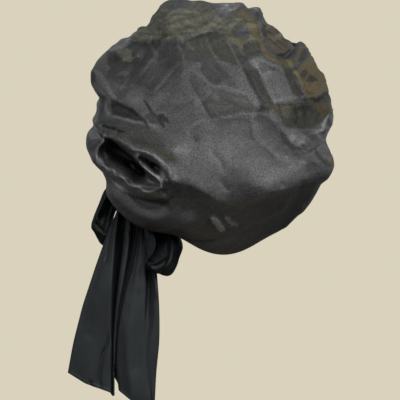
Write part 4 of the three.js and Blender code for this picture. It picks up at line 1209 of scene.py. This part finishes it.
# %% [markdown]
# ## Ribbon walls
#
# A ribbon is a grid of points with its rows running along it and its columns across. A Solidify modifier
# would thicken it, but its edges would be square and its thickness even. Here the wall is half its thickness
# on each side of the grid, thicker at a hem, with a turned edge and a cap at each end. A band that closes
# on itself has no caps.

# %% A wall round a grid of points
def soften(grid, passes, axis=0):
    """Round the turns of a grid along one axis. The first and last points stay."""
    grid = np.moveaxis(grid.copy(), axis, 0)
    for _ in range(passes):
        grid[1:-1] = (grid[:-2] + 2 * grid[1:-1] + grid[2:]) / 4
    return np.moveaxis(grid, 0, axis)


def wall_mesh(name, grid, thickness, closed=False):
    """thickness may be one number or a grid of them."""
    rows, columns = grid.shape[:2]
    if closed:
        normals = grid_normals(grid.swapaxes(0, 1), True).swapaxes(0, 1) * -1
    else:
        normals = grid_normals(grid, False)
    half = np.broadcast_to(np.asarray(thickness) / 2, (rows, columns))[..., None]
    left = grid[:, 0] - half[:, 0] * unit(grid[:, 1] - grid[:, 0])
    right = grid[:, -1] + half[:, -1] * unit(grid[:, -1] - grid[:, -2])
    outer, inner = grid + half * normals, grid - half * normals
    loop = np.concatenate([outer, right[:, None], inner[:, ::-1], left[:, None]], 1)
    count = loop.shape[1]
    faces = grid_faces(rows + closed, count, True, flip=True) % (rows * count)
    faces = [tuple(face) for face in faces]
    if not closed:
        for row, order in ((0, 1), (rows - 1, -1)):
            start = row * count
            cap = [(c, c + 1, 2 * columns - c - 1, 2 * columns - c) for c in range(columns - 1)]
            cap += [(columns - 1, columns, columns + 1), (0, 2 * columns, 2 * columns + 1)]
            faces += [tuple(start + k for k in face)[::order] for face in cap]
    return make_mesh(name, loop.reshape(-1, 3), faces)


def cloth_area(grid, closed=False):
    """Square metres of one side of a grid of points in millimetres."""
    if closed:
        grid = np.concatenate([grid, grid[:1]])
    a, b = grid[1:, 1:] - grid[:-1, :-1], grid[1:, :-1] - grid[:-1, 1:]
    return np.linalg.norm(np.cross(a, b), axis=-1).sum() / 2 * MM * MM


# %% [markdown]
# ## Head band
#
# The band is a folded strip of satin over elastic, so its face has fine puckers that run across it, and a
# row of stitches near each edge holds the fold. It swells a little in the middle of its height. Puckers
# could be a bump in the material, but they show against the light at the band's edge, so they are shape.

# %% Make the head band
BAND_SWELL = 2
BAND_COLUMNS = 34
BAND_INSET = 1.0  # keeps the turned edge clear of the crown's hem
BAND_THINNING = 0.5  # the cloth itself is thinner than the band's swell
STITCHES = 150
STITCH_INSET = 4.5
STITCH_WIDTH = 0.9
PUCKERS = 46


def make_band():
    angle = 2 * np.pi * np.arange(4 * STITCHES) / (4 * STITCHES)
    reach = BAND_DEPTH / 2 - BAND_INSET
    height = np.linspace(reach, -reach, BAND_COLUMNS)
    turn, level = np.meshgrid(angle, height, indexing="ij")
    place, out = band_loop(turn)
    swell = BAND_SWELL * (1 - (2 * level / BAND_DEPTH) ** 2)
    form = place + level[..., None] * LOOP_UP
    pucker = 0.35 * crumple(form, 5, 71, 90, 4) + 0.3 * np.cos(PUCKERS * turn + 2 * np.sin(5 * turn))
    edge = np.abs(level) - (BAND_DEPTH / 2 - STITCH_INSET)
    pucker *= 1 - 0.6 * smoothstep(edge, 0, 3)
    stitch = np.exp(-((edge / STITCH_WIDTH) ** 2)) * (0.45 + 0.35 * np.cos(STITCHES * turn))
    grid = form + (swell + pucker - stitch)[..., None] * out
    print(f"head band: {cloth_area(grid, True) * 1e4:.0f} square cm")
    return wall_mesh("head_band_satin", grid, BAND_WALL - BAND_THINNING, closed=True)


# %% [markdown]
# ## Tails
#
# The tails hang from the knot in pleats that open out on their way down. Hung cloth is what a simulation
# does best, but these two lie just so, one tucked behind the other. So a tail is drawn as lines that run
# down it, from one edge to the other. Each line has its place across at ten levels, and how far it lies
# behind the tail's own plane there, so a ridge has a small depth and the floor of a pleat a large one. The
# lines stop at their own height, which slants the hem.

# %% Sizes of the left tail
LEVELS = [-60, -80, -100, -120, -140, -160, -180, -200, -230, -265]
TAIL_WALL = 1.1
HEM = 3.5
HEM_EXTRA = 0.35

# y of the tail's plane at each level. Then, for each line, its name, its share of the way across, the height
# where it stops, its x at each level and its depth at each level.
LEFT_PLANE = [-73, -78, -83, -87, -90, -92, -93, -95, -99, -104]
LEFT_LINES = [
    ("edge", 0, -232,
     [-101, -111, -117, -124, -130.5, -137, -142, -147, -152.5, -157],
     [2, 3, 3, 3, 2, 2, 1, 1, 2, 3]),
    ("panel", 0.22, -243,
     [-100, -108, -112, -117, -121, -125, -129, -131, -133, -135],
     [1, 1, 0, -1, -1, -1, -1, -1, -1, 0]),
    ("upper ridge", 0.44, -252,
     [-99.5, -102.5, -104.2, -105.4, -106, -106.8, -107.2, -107.4, -107.4, -107.2],
     [-1, -3, -3, -3, -3, -2, -2, -2, -1.5, -1]),
    ("pleat", 0.58, -256,
     [-94, -96, -97.5, -99.5, -101.8, -103.8, -105, -105.4, -105.4, -105.4],
     [6, 7, 8, 8, 7, 6, 5, 4, 3, 3]),
    ("strip left", 0.7, -256,
     [-89, -91, -94.2, -97, -99.6, -101.8, -103.4, -104.2, -104.4, -104.4],
     [0, -1, -1, -1, -0.5, 0, 0, 0, 0, 0]),
    ("strip right", 0.79, -255,
     [-85, -86.5, -89.2, -91.8, -95.4, -98.8, -101.6, -102.8, -103.3, -103.6],
     [-1, -2, -2, -2, -1.5, -1, -0.5, -0.5, 0, 0]),
    ("strip back", 0.9, -254,
     [-82.5, -84, -86.2, -88.8, -93.6, -98, -101.6, -103.7, -104.4, -104.8],
     [5, 6, 6, 5, 4, 3.5, 3, 2.5, 2, 2]),
    ("hidden edge", 1, -252,
     [-84, -88, -90.5, -94, -98, -101.5, -104.6, -106.6, -107.6, -108],
     [11, 12, 12, 11, 9, 8, 6, 5, 4, 4]),
]
print(f"left tail: {len(LEFT_LINES)} lines")

# %% Sizes of the right tail
RIGHT_PLANE = [-67, -70, -74, -79, -84, -88, -91.5, -95, -100, -106]
RIGHT_LINES = [
    ("hidden edge", 0, -238,
     [-87, -89, -90, -93, -98, -102, -104.5, -106, -104.6, -99],
     [14, 14, 13.5, 12.5, 13, 13, 12.5, 11.5, 9.5, 8]),
    ("hidden turn", 0.09, -245,
     [-79.5, -82, -83.2, -86.5, -92, -96.6, -99.4, -101.3, -100.8, -95.4],
     [10, 10, 9.5, 9, 9, 9, 9, 8.5, 7, 6]),
    ("panel left", 0.2, -250,
     [-76, -79.5, -81, -84.8, -91.6, -96.6, -99.8, -102, -101.4, -96],
     [0.5, 0.5, 0.5, 0.5, 0.5, 0.5, 0.8, 1.3, 0.8, 0.5]),
    ("panel middle", 0.4, -262,
     [-72.5, -75, -76, -78, -82, -84.5, -86.5, -88, -87, -82],
     [-1, -1.5, -1.5, -1.5, -1.5, -1.5, -1.5, -1.5, -1.5, -1]),
    ("crease", 0.62, -272,
     [-69, -70, -70.2, -70.2, -70.4, -71, -72, -73, -71, -63.4],
     [-0.5, -0.5, -0.5, -0.5, -0.5, -0.5, 0, 0, 0, -0.5]),
    ("pleat", 0.72, -272,
     [-67, -67.6, -67.6, -67.4, -67.2, -67.6, -68.6, -70.6, -69, -62.6],
     [5, 6, 6, 6, 5, 4, 1.5, 0.5, 0.5, 0.5]),
    ("strip", 0.88, -271,
     [-64, -63.5, -63, -62.2, -61.2, -61, -61.4, -62.6, -64, -61.6],
     [1.5, 1, 0.5, 0, -0.5, -0.5, -0.5, -0.5, 0, 0]),
    ("edge", 1, -270,
     [-62, -61.5, -61, -59.6, -57.6, -56.3, -55.8, -56, -59.2, -60.8],
     [1, 1, 0, -0.5, -0.5, -0.5, 0, 0.5, 1, 1]),
]
print(f"right tail: {len(RIGHT_LINES)} lines")

# %% Folds of the tails
TAIL_FOLDS = [
    crease("hem crease", [(-110, -186), (-111.5, -202), (-116, -212), (-119, -228), (-120, -240), (-118, -254)], -1.4,
           2, 0.9, taper=0.2),
    fold("hem dimple", [(-129, -242), (-127.5, -250)], -1, 1.5, power=1.4),
    fold("shoulder crease", [(-104, -64), (-108, -80), (-110.5, -96), (-113, -112)], -1.6, 1.6, 2.6, power=1.3),
    fold("long soft fold", [(-118, -118), (-124, -150), (-131, -190)], -0.8, 7, power=1.4),
    fold("panel line", [(-92, -178), (-90, -215), (-84, -256)], 0.8, 8, power=1.4),
    fold("panel fall", [(-78, -150), (-80, -190), (-80, -225)], -0.7, 7, power=1.4),
    fold("twist", [(-91, -84), (-87, -96), (-88, -110)], 1.2, 3, power=1.3),
    crease("strip line", [(-62, -124), (-59.5, -138), (-58, -156)], 0.8, 1.2, taper=0.3),
]
print(f"{len(TAIL_FOLDS)} folds in the tails")


# %% Make the tails
LINE_SOFTENING, CROSS_SOFTENING = 180, 16  # passes


def at_height(height, values):
    """A number at any height, from its values at the levels."""
    return np.interp(-height, -np.array(LEVELS), values)


def make_tail(name, plane, lines, seed, rows=300, columns=120):
    down = np.linspace(0, 1, rows)
    table = []
    for _, _, stop, across, depth in lines:
        height = mix(LEVELS[0], stop, down)
        deep = at_height(height, depth) + at_height(height, plane)
        table.append(np.stack([at_height(height, across), deep, height], -1))
    table = soften(np.stack(table, 1), LINE_SOFTENING)
    shares = np.array([line[1] for line in lines])
    column = np.linspace(0, 1, columns)
    grid = np.stack([np.stack([np.interp(column, shares, row[:, k]) for k in range(3)], -1) for row in table])
    grid = soften(grid, CROSS_SOFTENING, axis=1)
    normals = grid_normals(grid, False)
    normals *= -np.sign(normals[..., 1:2].mean())
    ripple = 0.08 * crumple(grid, 9, seed, 80, 4) + 0.04 * crumple(grid, 4, seed + 3, 84, 5)
    ripple *= mix(1.5, 0.7, smoothstep(down, 0, 0.5))[:, None]
    grid = add_folds(grid, normals, np.ones(grid.shape[:2]), TAIL_FOLDS) + ripple[..., None] * normals
    to_edge = np.minimum.reduce([
        np.abs(grid[..., 2] - grid[-1:, :, 2]),
        np.linalg.norm(grid - grid[:, :1], axis=-1),
        np.linalg.norm(grid - grid[:, -1:], axis=-1),
    ])
    wall = TAIL_WALL + HEM_EXTRA * (1 - smoothstep(to_edge, HEM - 0.6, HEM))
    print(f"{name}: {cloth_area(grid) * 1e4:.0f} square cm")
    return wall_mesh(name, grid, wall)


# %% [markdown]
# ## Bow loops and knot
#
# A loop of the bow is a pouch. A ribbon bent round a curve would be the quick way to make it, but the edge
# that shows is smaller than the loop behind it. So its mouth is the ribbon's near edge, its belly is the
# widest part behind that, and its back edge lies further in. Mouth and belly are lines of points that leave
# the knot, go round and come back.

# %% Sizes of the loops
LEFT_LOOP = [
    # mouth x, y, z, then belly x, y, z
    ("from the knot", (-89, -64, -43), (-89, -60, -40)),
    ("under the crown", (-101, -64, -42), (-102, -59, -37)),
    ("top", (-111, -64, -43), (-114, -58, -37)),
    ("outer top", (-117.5, -65, -54), (-120.5, -58, -50)),
    ("outer", (-122.5, -66, -66), (-127.5, -58, -68)),
    ("corner", (-121, -67, -73), (-130.5, -58, -78)),
    ("lower outer", (-116.5, -68, -79), (-124, -58, -92)),
    ("bottom", (-112.5, -67, -84), (-116, -57, -100)),
    ("inner low", (-110.5, -66, -74), (-108, -56, -84)),
    ("inner", (-109.5, -65, -62), (-105.8, -57, -67)),
    ("inner top", (-104.5, -64, -53), (-100.8, -58, -56.5)),
    ("to the knot", (-89, -64, -48), (-88, -60, -54)),
]
RIGHT_LOOP = [
    ("from the knot", (-67, -86, -64), (-71, -80, -64)),
    ("left upper", (-60.5, -99, -82), (-72.5, -91, -80)),
    ("left middle", (-59, -103, -93), (-71.5, -94, -95)),
    ("left lower", (-62, -105, -103), (-70, -96, -105)),
    ("tip", (-68.5, -106, -110.5), (-69.5, -97, -114)),
    ("under the tip", (-61, -106, -113), (-66, -97, -121)),
    ("bottom", (-53.5, -105, -108.5), (-57, -96, -127)),
    ("bottom right", (-47.5, -105, -104.5), (-42, -94, -129)),
    ("right middle", (-48.5, -103, -95), (-33.5, -92, -113)),
    ("right upper", (-47, -98, -86), (-29, -88, -94)),
    ("right top", (-52, -90, -74), (-42, -82, -74)),
    ("to the knot", (-61, -82, -66), (-57, -76, -66)),
    ("round the knot", (-66, -84, -67), (-66, -78, -67)),
    ("over itself", (-69, -89, -68), (-74, -84, -70)),
]
LOOP_WALL = 1.1
LOOP_HEM_EXTRA = 0.5
LOOP_BACK_SHARE = 0.995  # how far the back is drawn in to the loop's middle, which shuts it
LOOP_BACK_DEPTH = 18
LOOP_FULLNESS = 0.8
LOOP_FOLDS = [
    fold("panel hem", [(-43.4, -86), (-43, -96), (-44.4, -108), (-50, -119), (-55, -127)], -1.6, 1.3, 1.6, power=1.4),
    fold("lip hem", [(-66, -113), (-60, -116), (-54, -114), (-49, -109)], -1, 1.2, power=1.4),
    fold("bottom fold", [(-62, -119), (-57, -121), (-50, -116)], 1.2, 1.6, power=1.3),
    fold("corner fold", [(-128, -71), (-122, -77), (-114, -85)], -1.4, 1.4, 1.8, power=1.4),
    fold("lower fold", [(-129, -79), (-121, -84), (-115, -87)], 1.2, 1.6, power=1.3),
]
print(f"loops: {len(LEFT_LOOP)} and {len(RIGHT_LOOP)} points, {len(LOOP_FOLDS)} folds")


# %% Make the loops
def make_loop(name, table, seed, columns=60, steps=20):
    mouth = soften(curve_through([row[1] for row in table], steps), 8)
    belly = soften(curve_through([row[2] for row in table], steps), 8)
    back = mix(belly, belly.mean(0), LOOP_BACK_SHARE) + [0, LOOP_BACK_DEPTH, 0]
    across = np.linspace(0, 1, columns)[None, :, None]
    near, far = mix(mouth[:, None], belly[:, None], across), mix(belly[:, None], back[:, None], across)
    grid = mix(near, far, across)
    grid += (belly - (mouth + 2 * belly + back) / 4)[:, None] * 4 * across * (1 - across) * LOOP_FULLNESS
    normals = grid_normals(grid, False)
    near_half = np.broadcast_to(1.0 * (across[..., 0] < 0.5), grid.shape[:2])
    ripple = 0.22 * crumple(grid, 6, seed, 60, 3) + 0.14 * crumple(grid, 3, seed + 5, 60, 3)
    grid = add_folds(grid + ripple[..., None] * normals, STRAIGHT_BACK + 0 * grid, near_half, LOOP_FOLDS)
    from_mouth = np.linalg.norm(grid - grid[:, :1], axis=-1)
    wall = LOOP_WALL + LOOP_HEM_EXTRA * (1 - smoothstep(from_mouth, HEM - 1.2, HEM - 0.4))
    print(f"{name}: {cloth_area(grid) * 1e4:.0f} square cm")
    return wall_mesh(name, grid, wall)


# %% [markdown]
# The knot is the tie wrapped tightly round itself. Tying a real knot in Blender is a long job for something
# this small, and only a corner of it shows. So it is a ball with ridges that run round it like the turns
# of a ribbon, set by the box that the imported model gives.

# %% Make the knot
TURNS_PER_HALF = 2.4
KNOT_SIZE = 0.90
TURN_DEPTH = 0.05
KNOT_SQUASH = [1, 1, 0.93]


def make_knot(rows=90, columns=150):
    """A wrapped knot. Turns of ribbon run round it, one over the next."""
    low, high = [np.array(corner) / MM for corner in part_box("tie_knot")]
    middle, half = (low + high) / 2, (high - low) / 2
    turn, lean = np.meshgrid(2 * np.pi * np.arange(columns) / columns, np.pi * np.linspace(0.02, 0.98, rows))
    turn, lean = turn.T, lean.T
    ball = np.stack([np.sin(lean) * np.cos(turn), np.sin(lean) * np.sin(turn), np.cos(lean)], -1)
    level = ball @ unit(np.array([0.45, -0.2, 0.87])) + 0.12 * np.sin(2 * turn + 1)
    wraps = np.abs(TURNS_PER_HALF * level - np.floor(TURNS_PER_HALF * level) - 0.5) * 2
    size = KNOT_SIZE - TURN_DEPTH * wraps**2 + 0.012 * crumple(ball * 20, 5, 91, 20, 4)
    grid = middle + half * KNOT_SQUASH * ball * size[..., None]
    faces = [tuple(face) for face in grid_faces(columns + 1, rows, False) % (rows * columns)]
    points = grid.reshape(-1, 3)
    for row, order in ((0, 1), (rows - 1, -1)):
        faces.append(tuple(range(row, rows * columns, rows))[::order])
    print(f"tie knot: {rows * columns} points")
    return make_mesh("tie_knot_satin", points, faces)


# %% [markdown]
# Each piece now takes the place of the plain solid of its own node. The band, the loops and the tails are
# cut from flat strips, and their flat sizes are stated. The knot is a wrapped lump, so it has none. Cloth
# that hangs in the shade of the crown, or turns away behind a pleat, is painted darker as painted shade,
# and the inside of a loop is painted lighter as painted light, as light that bounces about in there is
# more than a render allows for.

# %% Make the ties and put them in place
# node, object, flat width and length in metres, how it is held
TIES = [
    ("head_band", make_band(), (0.052, 0.60), "stretched"),
    ("tie_knot", make_knot(), None, None),
    ("bow_loop_left", make_loop("bow_loop_left_satin", LEFT_LOOP, 41), (0.035, 0.13), "folded"),
    ("bow_loop_right", make_loop("bow_loop_right_satin", RIGHT_LOOP, 47), (0.04, 0.16), "folded"),
    ("tie_tail_left", make_tail("tie_tail_left_satin", LEFT_PLANE, LEFT_LINES, 51), (0.06, 0.20), "hung"),
    ("tie_tail_right", make_tail("tie_tail_right_satin", RIGHT_PLANE, RIGHT_LINES, 57), (0.06, 0.21), "hung"),
]
# painted shade over each whole piece, by the way the light falls on it
SHADED = {"bow_loop_left": 0.65, "bow_loop_right": 0.55, "tie_tail_left": 0.88, "tie_tail_right": 0.7}
# painted shade under the crown
UNDER_CROWN_PAINTED_SHADE, UNDER_CROWN = 0.6, (75, 125)  # how far below the origin the crown's shade ends
# painted shade in the floors of the pleats, by their depth behind the tail's plane
PLEAT_PAINTED_SHADE, PLEAT_DEPTH = 0.4, (2, 6)
# painted light inside the loops, for light that bounces about in there
LINING_PAINTED_LIGHT = 5
TAIL_PLANES = {"tie_tail_left": LEFT_PLANE, "tie_tail_right": RIGHT_PLANE}
LOOP_LININGS = {"bow_loop_left": (-62, -54), "bow_loop_right": (-94, -84)}  # y where the inside begins


def tie_painted_light_and_shade(node, piece):
    """Painted light and shade at each point of one of the ties' pieces."""
    places = np.array([point.co for point in piece.data.vertices]) / MM
    painted_light_and_shade = SHADED.get(node, 1) * mix(UNDER_CROWN_PAINTED_SHADE, 1, smoothstep(-places[:, 2], *UNDER_CROWN))
    if node in TAIL_PLANES:
        deep = places[:, 1] - at_height(places[:, 2], TAIL_PLANES[node])
        painted_light_and_shade = painted_light_and_shade * mix(1, PLEAT_PAINTED_SHADE, smoothstep(deep, *PLEAT_DEPTH))
    if node in LOOP_LININGS:
        turned_back = -np.array([point.normal for point in piece.data.vertices])[:, 1]
        lining = smoothstep(places[:, 1], *LOOP_LININGS[node]) * smoothstep(turned_back, 0, 0.4)
        painted_light_and_shade = painted_light_and_shade * mix(1, LINING_PAINTED_LIGHT, lining)
    return painted_light_and_shade


# each piece keeps its painted light and shade
for node, piece, flat, held in TIES:
    keep_with(piece, "painted_light_and_shade", tie_painted_light_and_shade(node, piece))
    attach(piece, "root")
    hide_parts(node)

# %% [markdown]
# ## Shader maths
#
# A material is a tree of nodes. It could be wired by hand in the shader editor, but sums are easier to read
# as sums. So a node's output is wrapped in a small class whose plus, minus and times add Math nodes, and
# every other node comes from one method that takes its type, its settings and its inputs.

# %% Nodes as expressions
class Value:
    """A node's output, with arithmetic that adds Math nodes."""

    def __init__(self, nodes, socket):
        self.nodes, self.socket = nodes, socket

    def __add__(self, other):
        return self.nodes.maths("ADD", self, other)

    def __sub__(self, other):
        return self.nodes.maths("SUBTRACT", self, other)

    def __rsub__(self, other):
        return self.nodes.maths("SUBTRACT", other, self)

    def __mul__(self, other):
        return self.nodes.maths("MULTIPLY", self, other)

    __radd__ = __add__
    __rmul__ = __mul__


class Nodes:
    """A tree of nodes that is being filled."""

    def __init__(self, tree):
        self.tree = tree

    def node(self, kind, settings=None, inputs=None, output=0):
        node = self.tree.nodes.new(kind)
        for key, value in (settings or {}).items():
            setattr(node, key, value)
        for key, value in (inputs or {}).items():
            self.feed(node, key, value)
        return Value(self, node.outputs[output])

    def feed(self, node, key, value):
        """Sets an input of a node to a value, or links it to another node's output."""
        if isinstance(value, Value):
            self.tree.links.new(value.socket, node.inputs[key])
        else:
            node.inputs[key].default_value = value

    def maths(self, operation, *values):
        return self.node("ShaderNodeMath", {"operation": operation}, dict(enumerate(values)))


# %% [markdown]
# ## Finishes
#
# Each finish is one Principled shader. What is the same all over is set on its own sockets, and only its
# colour, roughness and normal are fed by nodes.

# %% A finish round one shader
class Finish(Nodes):
    """A material in the making."""

    def __init__(self, name, **plain):
        self.material = bpy.data.materials.new(name)
        self.material.use_nodes = True
        super().__init__(self.material.node_tree)
        self.shader = self.tree.nodes["Principled BSDF"]
        for label, value in plain.items():
            self.feed(self.shader, label.replace("_", " "), value)

    def noise(self, scale, detail):
        place = self.node("ShaderNodeTexCoord", output="Object")
        inputs = {"Vector": place, "Scale": scale, "Detail": detail}
        return self.node("ShaderNodeTexNoise", {"noise_dimensions": "3D"}, inputs, "Fac")

    def blend(self, share, a, b, way="MIX"):
        return self.node("ShaderNodeMix", {"data_type": "RGBA", "blend_type": way}, {0: share, 6: a, 7: b}, 2)

    def painted(self, name):
        """A number that is kept with the mesh."""
        return self.node("ShaderNodeAttribute", {"attribute_name": name}, None, "Fac")

    def finished(self, **fed):
        for label, value in fed.items():
            self.feed(self.shader, label.replace("_", " "), value)
        print(f"{self.material.name}: {len(self.tree.nodes)} nodes")
        return self.material


def put_on(piece, material):
    piece.data.materials.clear()
    piece.data.materials.append(material)


# %% [markdown]
# The crown is charcoal satin. Satin is made shiny by long threads that lie side by side, and its gloss has
# the cloth's own dark colour, which a plain glossy coat wouldn't give. So the shader is mostly metallic, as
# a metal tints what it reflects, and rough enough to have no mirror in it. The painted light and shade
# darkens or lightens the colour, the painted olive and bronze reflections tint it, and two fine noises give
# the weave's grain and mottle.

# %% The crown's satin
SATIN_METALLIC = 0.85
CHARCOAL = (0.076, 0.076, 0.077, 1)
# painted reflections: the warm room reflected in the satin, painted into its colour as olive and bronze
PAINTED_OLIVE_REFLECTION = (0.084, 0.084, 0.062, 1)
PAINTED_BRONZE_REFLECTION = (0.108, 0.084, 0.034, 1)
GRAIN_SCALE = 900
MOTTLE_HEIGHT = 0.0006


def crown_satin():
    satin = Finish("crown_satin", Metallic=SATIN_METALLIC)
    grain = satin.noise(GRAIN_SCALE, 0)
    mottle = satin.noise(130, 2)
    cloud = satin.noise(14, 3)
    # the painted olive and bronze reflections tint the charcoal
    colour = satin.blend(satin.painted("painted_olive_reflection"), CHARCOAL, PAINTED_OLIVE_REFLECTION)
    colour = satin.blend(satin.painted("painted_bronze_reflection"), colour, PAINTED_BRONZE_REFLECTION)
    grain_and_mottle = 0.30 * mottle + 1.50 * grain - 0.90
    # painted light and shade, with the weave's grain and mottle in it
    painted_light_and_shade = satin.painted("painted_light_and_shade") * (1 + satin.painted("graininess") * grain_and_mottle)
    bump = {"Height": mottle, "Distance": MOTTLE_HEIGHT, "Strength": 0.5}
    return satin.finished(
        Base_Color=satin.blend(1, colour, painted_light_and_shade, "MULTIPLY"),
        Roughness=0.46 + 0.12 * cloud + 0.10 * mottle,
        Normal=satin.node("ShaderNodeBump", None, bump),
    )


put_on(crown, crown_satin())

# %% [markdown]
# The ties are a blacker, smoother satin with a touch of blue, and its colour drifts a little from place to
# place. It is the same kind of shader with other numbers, and needs no bump: its pleats are shape.

# %% The ties' satin
TIE_DARK = (0.0205, 0.0242, 0.0264, 1)
TIE_LIGHT = (0.0268, 0.0298, 0.0318, 1)


def tie_satin():
    satin = Finish("tie_satin", Metallic=SATIN_METALLIC)
    grain = satin.noise(GRAIN_SCALE, 0)
    cloud = satin.noise(45, 3)
    colour = satin.blend(cloud, TIE_DARK, TIE_LIGHT)
    # painted light and shade, with the weave's grain in it
    painted_light_and_shade = satin.painted("painted_light_and_shade") * (0.75 + 0.5 * grain)
    return satin.finished(
        Base_Color=satin.blend(1, colour, painted_light_and_shade, "MULTIPLY"),
        Roughness=0.50 + 0.10 * cloud,
    )


tie = tie_satin()
for _, piece, _, _ in TIES:
    put_on(piece, tie)

# %% [markdown]
# ## Floor and lights
#
# The bonnet is held up as a head holds it, so the floor is far below and only keeps the room pale. A small
# lamp would put a hard spot on satin. A softbox is as big as the thing it lights, so its reflection runs
# over a whole fold: a wide one behind and above, a weak one on each side, and one overhead.

# %% Floor and softboxes
FLOOR_DROP = 2.6
FLOOR_RADIUS = 2
FLOOR_ROUGHNESS = 0.9
PALE = (0.70, 0.645, 0.51, 1)
LIT_POINT = Vector((0, -0.08, 0.03))

bpy.ops.mesh.primitive_circle_add(vertices=96, radius=FLOOR_RADIUS, fill_type="NGON",
                                  location=(0, 0, -FLOOR_DROP))
floor = bpy.context.object
floor.name = "floor"
put_on(floor, Finish("floor_paint").finished(Base_Color=PALE, Roughness=FLOOR_ROUGHNESS))


def softbox(name, place, size, power):
    lamp = bpy.data.lights.new(name, "AREA")
    lamp.shape = "RECTANGLE"
    lamp.size, lamp.size_y = size
    lamp.energy = power
    light = bpy.data.objects.new(name, lamp)
    bpy.context.collection.objects.link(light)
    light.location = place
    light.rotation_euler = (LIT_POINT - light.location).to_track_quat("-Z", "Y").to_euler()
    print(f"{name}: {power} W")


softbox("key", (0.5, -1.75, 0.8), (3.4, 0.8), 62)
softbox("top", (0.0, -0.2, 1.9), (1.6, 1.2), 15)
softbox("side", (1.7, 0.5, 0.7), (0.8, 1.0), 4)
softbox("left", (-1.8, -0.5, 0.5), (1.2, 1.2), 8)

# %% [markdown]
# ## The studio round the bonnet
#
# Shiny cloth shows the room it is in. A plain world would fill every shadow with the same pale light, so
# the room is bright in front and above and dim behind and below. Only its plain pale wall is looked at
# directly: a Light Path node tells the rays that leave the camera from those that leave the cloth.

# %% Build the studio
ROOM_LIGHT = (0.60, 0.62, 0.64, 1)
FRONT_GLOW = {"From Min": -0.4, "From Max": 0.8, "To Min": 0.06, "To Max": 0.7}
UPPER_GLOW = {"From Min": -0.5, "From Max": 0.2, "To Min": 0.25, "To Max": 1}

scene = bpy.context.scene
scene.view_settings.view_transform = "Standard"
world = bpy.data.worlds.new("studio")
scene.world = world
world.use_nodes = True
studio = Nodes(world.node_tree)
wall = studio.tree.nodes["Background"]
studio.feed(wall, "Color", PALE)

way = studio.node("ShaderNodeTexCoord", output="Generated")
forward, upward = [studio.node("ShaderNodeSeparateXYZ", None, {0: way}, axis) for axis in "YZ"]
front = studio.node("ShaderNodeMapRange", None, {"Value": forward, **FRONT_GLOW})
above = studio.node("ShaderNodeMapRange", None, {"Value": upward, **UPPER_GLOW})
room = studio.node("ShaderNodeBackground", None, {"Color": ROOM_LIGHT, "Strength": front * above})
from_camera = studio.node("ShaderNodeLightPath", output="Is Camera Ray")
shown = {0: from_camera, 1: room, 2: Value(studio, wall.outputs[0])}
studio.feed(studio.tree.nodes["World Output"], "Surface", studio.node("ShaderNodeMixShader", None, shown))
print(f"studio: {len(studio.tree.nodes)} nodes")
